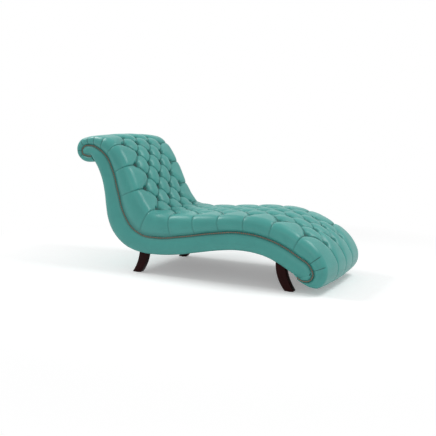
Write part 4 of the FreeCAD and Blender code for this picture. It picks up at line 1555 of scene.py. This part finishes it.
@dataclass
class Studio:
    """A white floor, soft lamps and the photograph's camera.

    Attributes:
        shift: how far the whole is moved along X, in metres.
    """

    shift: float
    camera_place: tuple[float, float, float] = (2.4395, -3.7074, 0.9605)
    turn: float = 28.54
    tilt: float = 8.20
    lens: float = 53.25
    sensor: float = 36.0
    floor_size: float = 40.0
    floor_cells: int = 4
    floor_tone: float = 0.9
    floor_lift: float = 0.26
    floor_fade: tuple[float, float] = (1.4, 2.4)
    sky: float = 0.4
    lamps: tuple[Lamp, ...] = (
        Lamp("key_lamp", (2.2, 0.4, 3.4), (1.2, 1.2), 54.0),
        Lamp("side_lamp", (-2.5, -0.5, 3.0), (1.0, 1.0), 48.0),
        Lamp("front_lamp", (1.2, -4.2, 1.3), (3.0, 2.0), 18.0),
    )

    def build(self) -> None:
        """Sets up the whole studio."""
        self.add_camera()
        self.add_floor()
        self.add_world()
        for lamp in self.lamps:
            lamp.build()
        bpy.context.scene.view_settings.view_transform = "Standard"

    def add_camera(self) -> None:
        """Adds the camera at the photograph's place."""
        data = bpy.data.cameras.new("photo_camera")
        data.lens = self.lens
        data.sensor_width = self.sensor
        camera = place_new("photo_camera", data)
        x, y, z = self.camera_place
        camera.location = (x + self.shift, y, z)
        camera.rotation_euler = (math.radians(90 - self.tilt), 0, math.radians(self.turn))
        bpy.context.scene.camera = camera

    def add_floor(self) -> None:
        """Adds a wide floor that shows white to the camera and keeps the shadow."""
        bpy.ops.object.select_all(action="DESELECT")
        bpy.ops.mesh.primitive_grid_add(
            x_subdivisions=self.floor_cells, y_subdivisions=self.floor_cells,
            size=self.floor_size, location=(0, 0, 0))
        floor = bpy.context.object
        floor.name = "studio_floor"
        material = bpy.data.materials.new("floor_white")
        material.use_nodes = True
        wiring = Wiring(material.node_tree)
        output = wiring.add("ShaderNodeOutputMaterial")
        tone = self.floor_tone
        matt = wiring.add("ShaderNodeBsdfDiffuse", {"Color": (tone, tone, tone, 1.0)})
        white = wiring.add("ShaderNodeEmission", {"Strength": 1.0})
        place = wiring.add("ShaderNodeTexCoord").outputs["Object"]
        away = wiring.add("ShaderNodeVectorMath", {0: place}, operation="LENGTH")
        plain = wiring.stretch(away.outputs["Value"], *self.floor_fade)
        glow = wiring.add("ShaderNodeEmission", {"Strength": self.floor_lift})
        lit = wiring.add("ShaderNodeAddShader", {0: matt.outputs[0], 1: glow.outputs[0]})
        far = wiring.add("ShaderNodeMixShader", {0: plain, 1: lit.outputs[0], 2: white.outputs[0]})
        self.show_plain(wiring, output, matt, far)
        floor.data.materials.append(material)

    def add_world(self) -> None:
        """Adds a sky that is white to the camera and soft grey as light."""
        world = bpy.data.worlds.new("studio_world")
        world.use_nodes = True
        wiring = Wiring(world.node_tree)
        output = wiring.add("ShaderNodeOutputWorld")
        light = wiring.add("ShaderNodeBackground", {"Color": WHITE, "Strength": self.sky})
        white = wiring.add("ShaderNodeBackground", {"Color": WHITE, "Strength": 1.0})
        self.show_plain(wiring, output, light, white)
        bpy.context.scene.world = world

    def show_plain(
            self, wiring: Wiring, output: bpy.types.Node, lighting: bpy.types.Node,
            plain: bpy.types.Node) -> None:
        """Shows one shader to the camera, reflections and clear matter, and else another.

        Args:
            wiring: the nodes to add to.
            output: the tree's output node.
            lighting: the shader that lights the object.
            plain: the shader that is seen.
        """
        path = wiring.add("ShaderNodeLightPath").outputs
        mirrored = wiring.math("MAXIMUM", path["Is Glossy Ray"], path["Is Transmission Ray"])
        seen = wiring.math("MAXIMUM", path["Is Camera Ray"], mirrored)
        surface = wiring.add("ShaderNodeMixShader", {
            0: seen, 1: lighting.outputs[0], 2: plain.outputs[0]})
        wiring.feed(output.inputs["Surface"], surface.outputs[0])


def main() -> None:
    """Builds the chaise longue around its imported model."""
    logging.basicConfig(level=logging.INFO, format="%(name)s: %(message)s")
    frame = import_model()
    bpy.ops.object.select_all(action="DESELECT")
    nodes = frame["nodes"]
    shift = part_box("leg_glides")[0].x / MM - (HEAD_GLIDE_X - GLIDE_RADIUS)
    library = Library()
    dress_packed(nodes, frame["record"], library)
    pad = TuftedPad(library, shift)
    pad.build()
    Buttons(library, shift, pad).build()
    for side in (1, -1):
        Fascia(library, shift, side).build()
        NailRow(library, shift, side).build()
    OuterBack(library, shift).build()
    for end in ("head", "foot"):
        for hand in ("left", "right"):
            node = f"{end}_leg_{hand}"
            Leg(library, shift, node, nodes[node]).build()
    Studio(shift * MM).build()


if __name__ == "__main__":
    main()
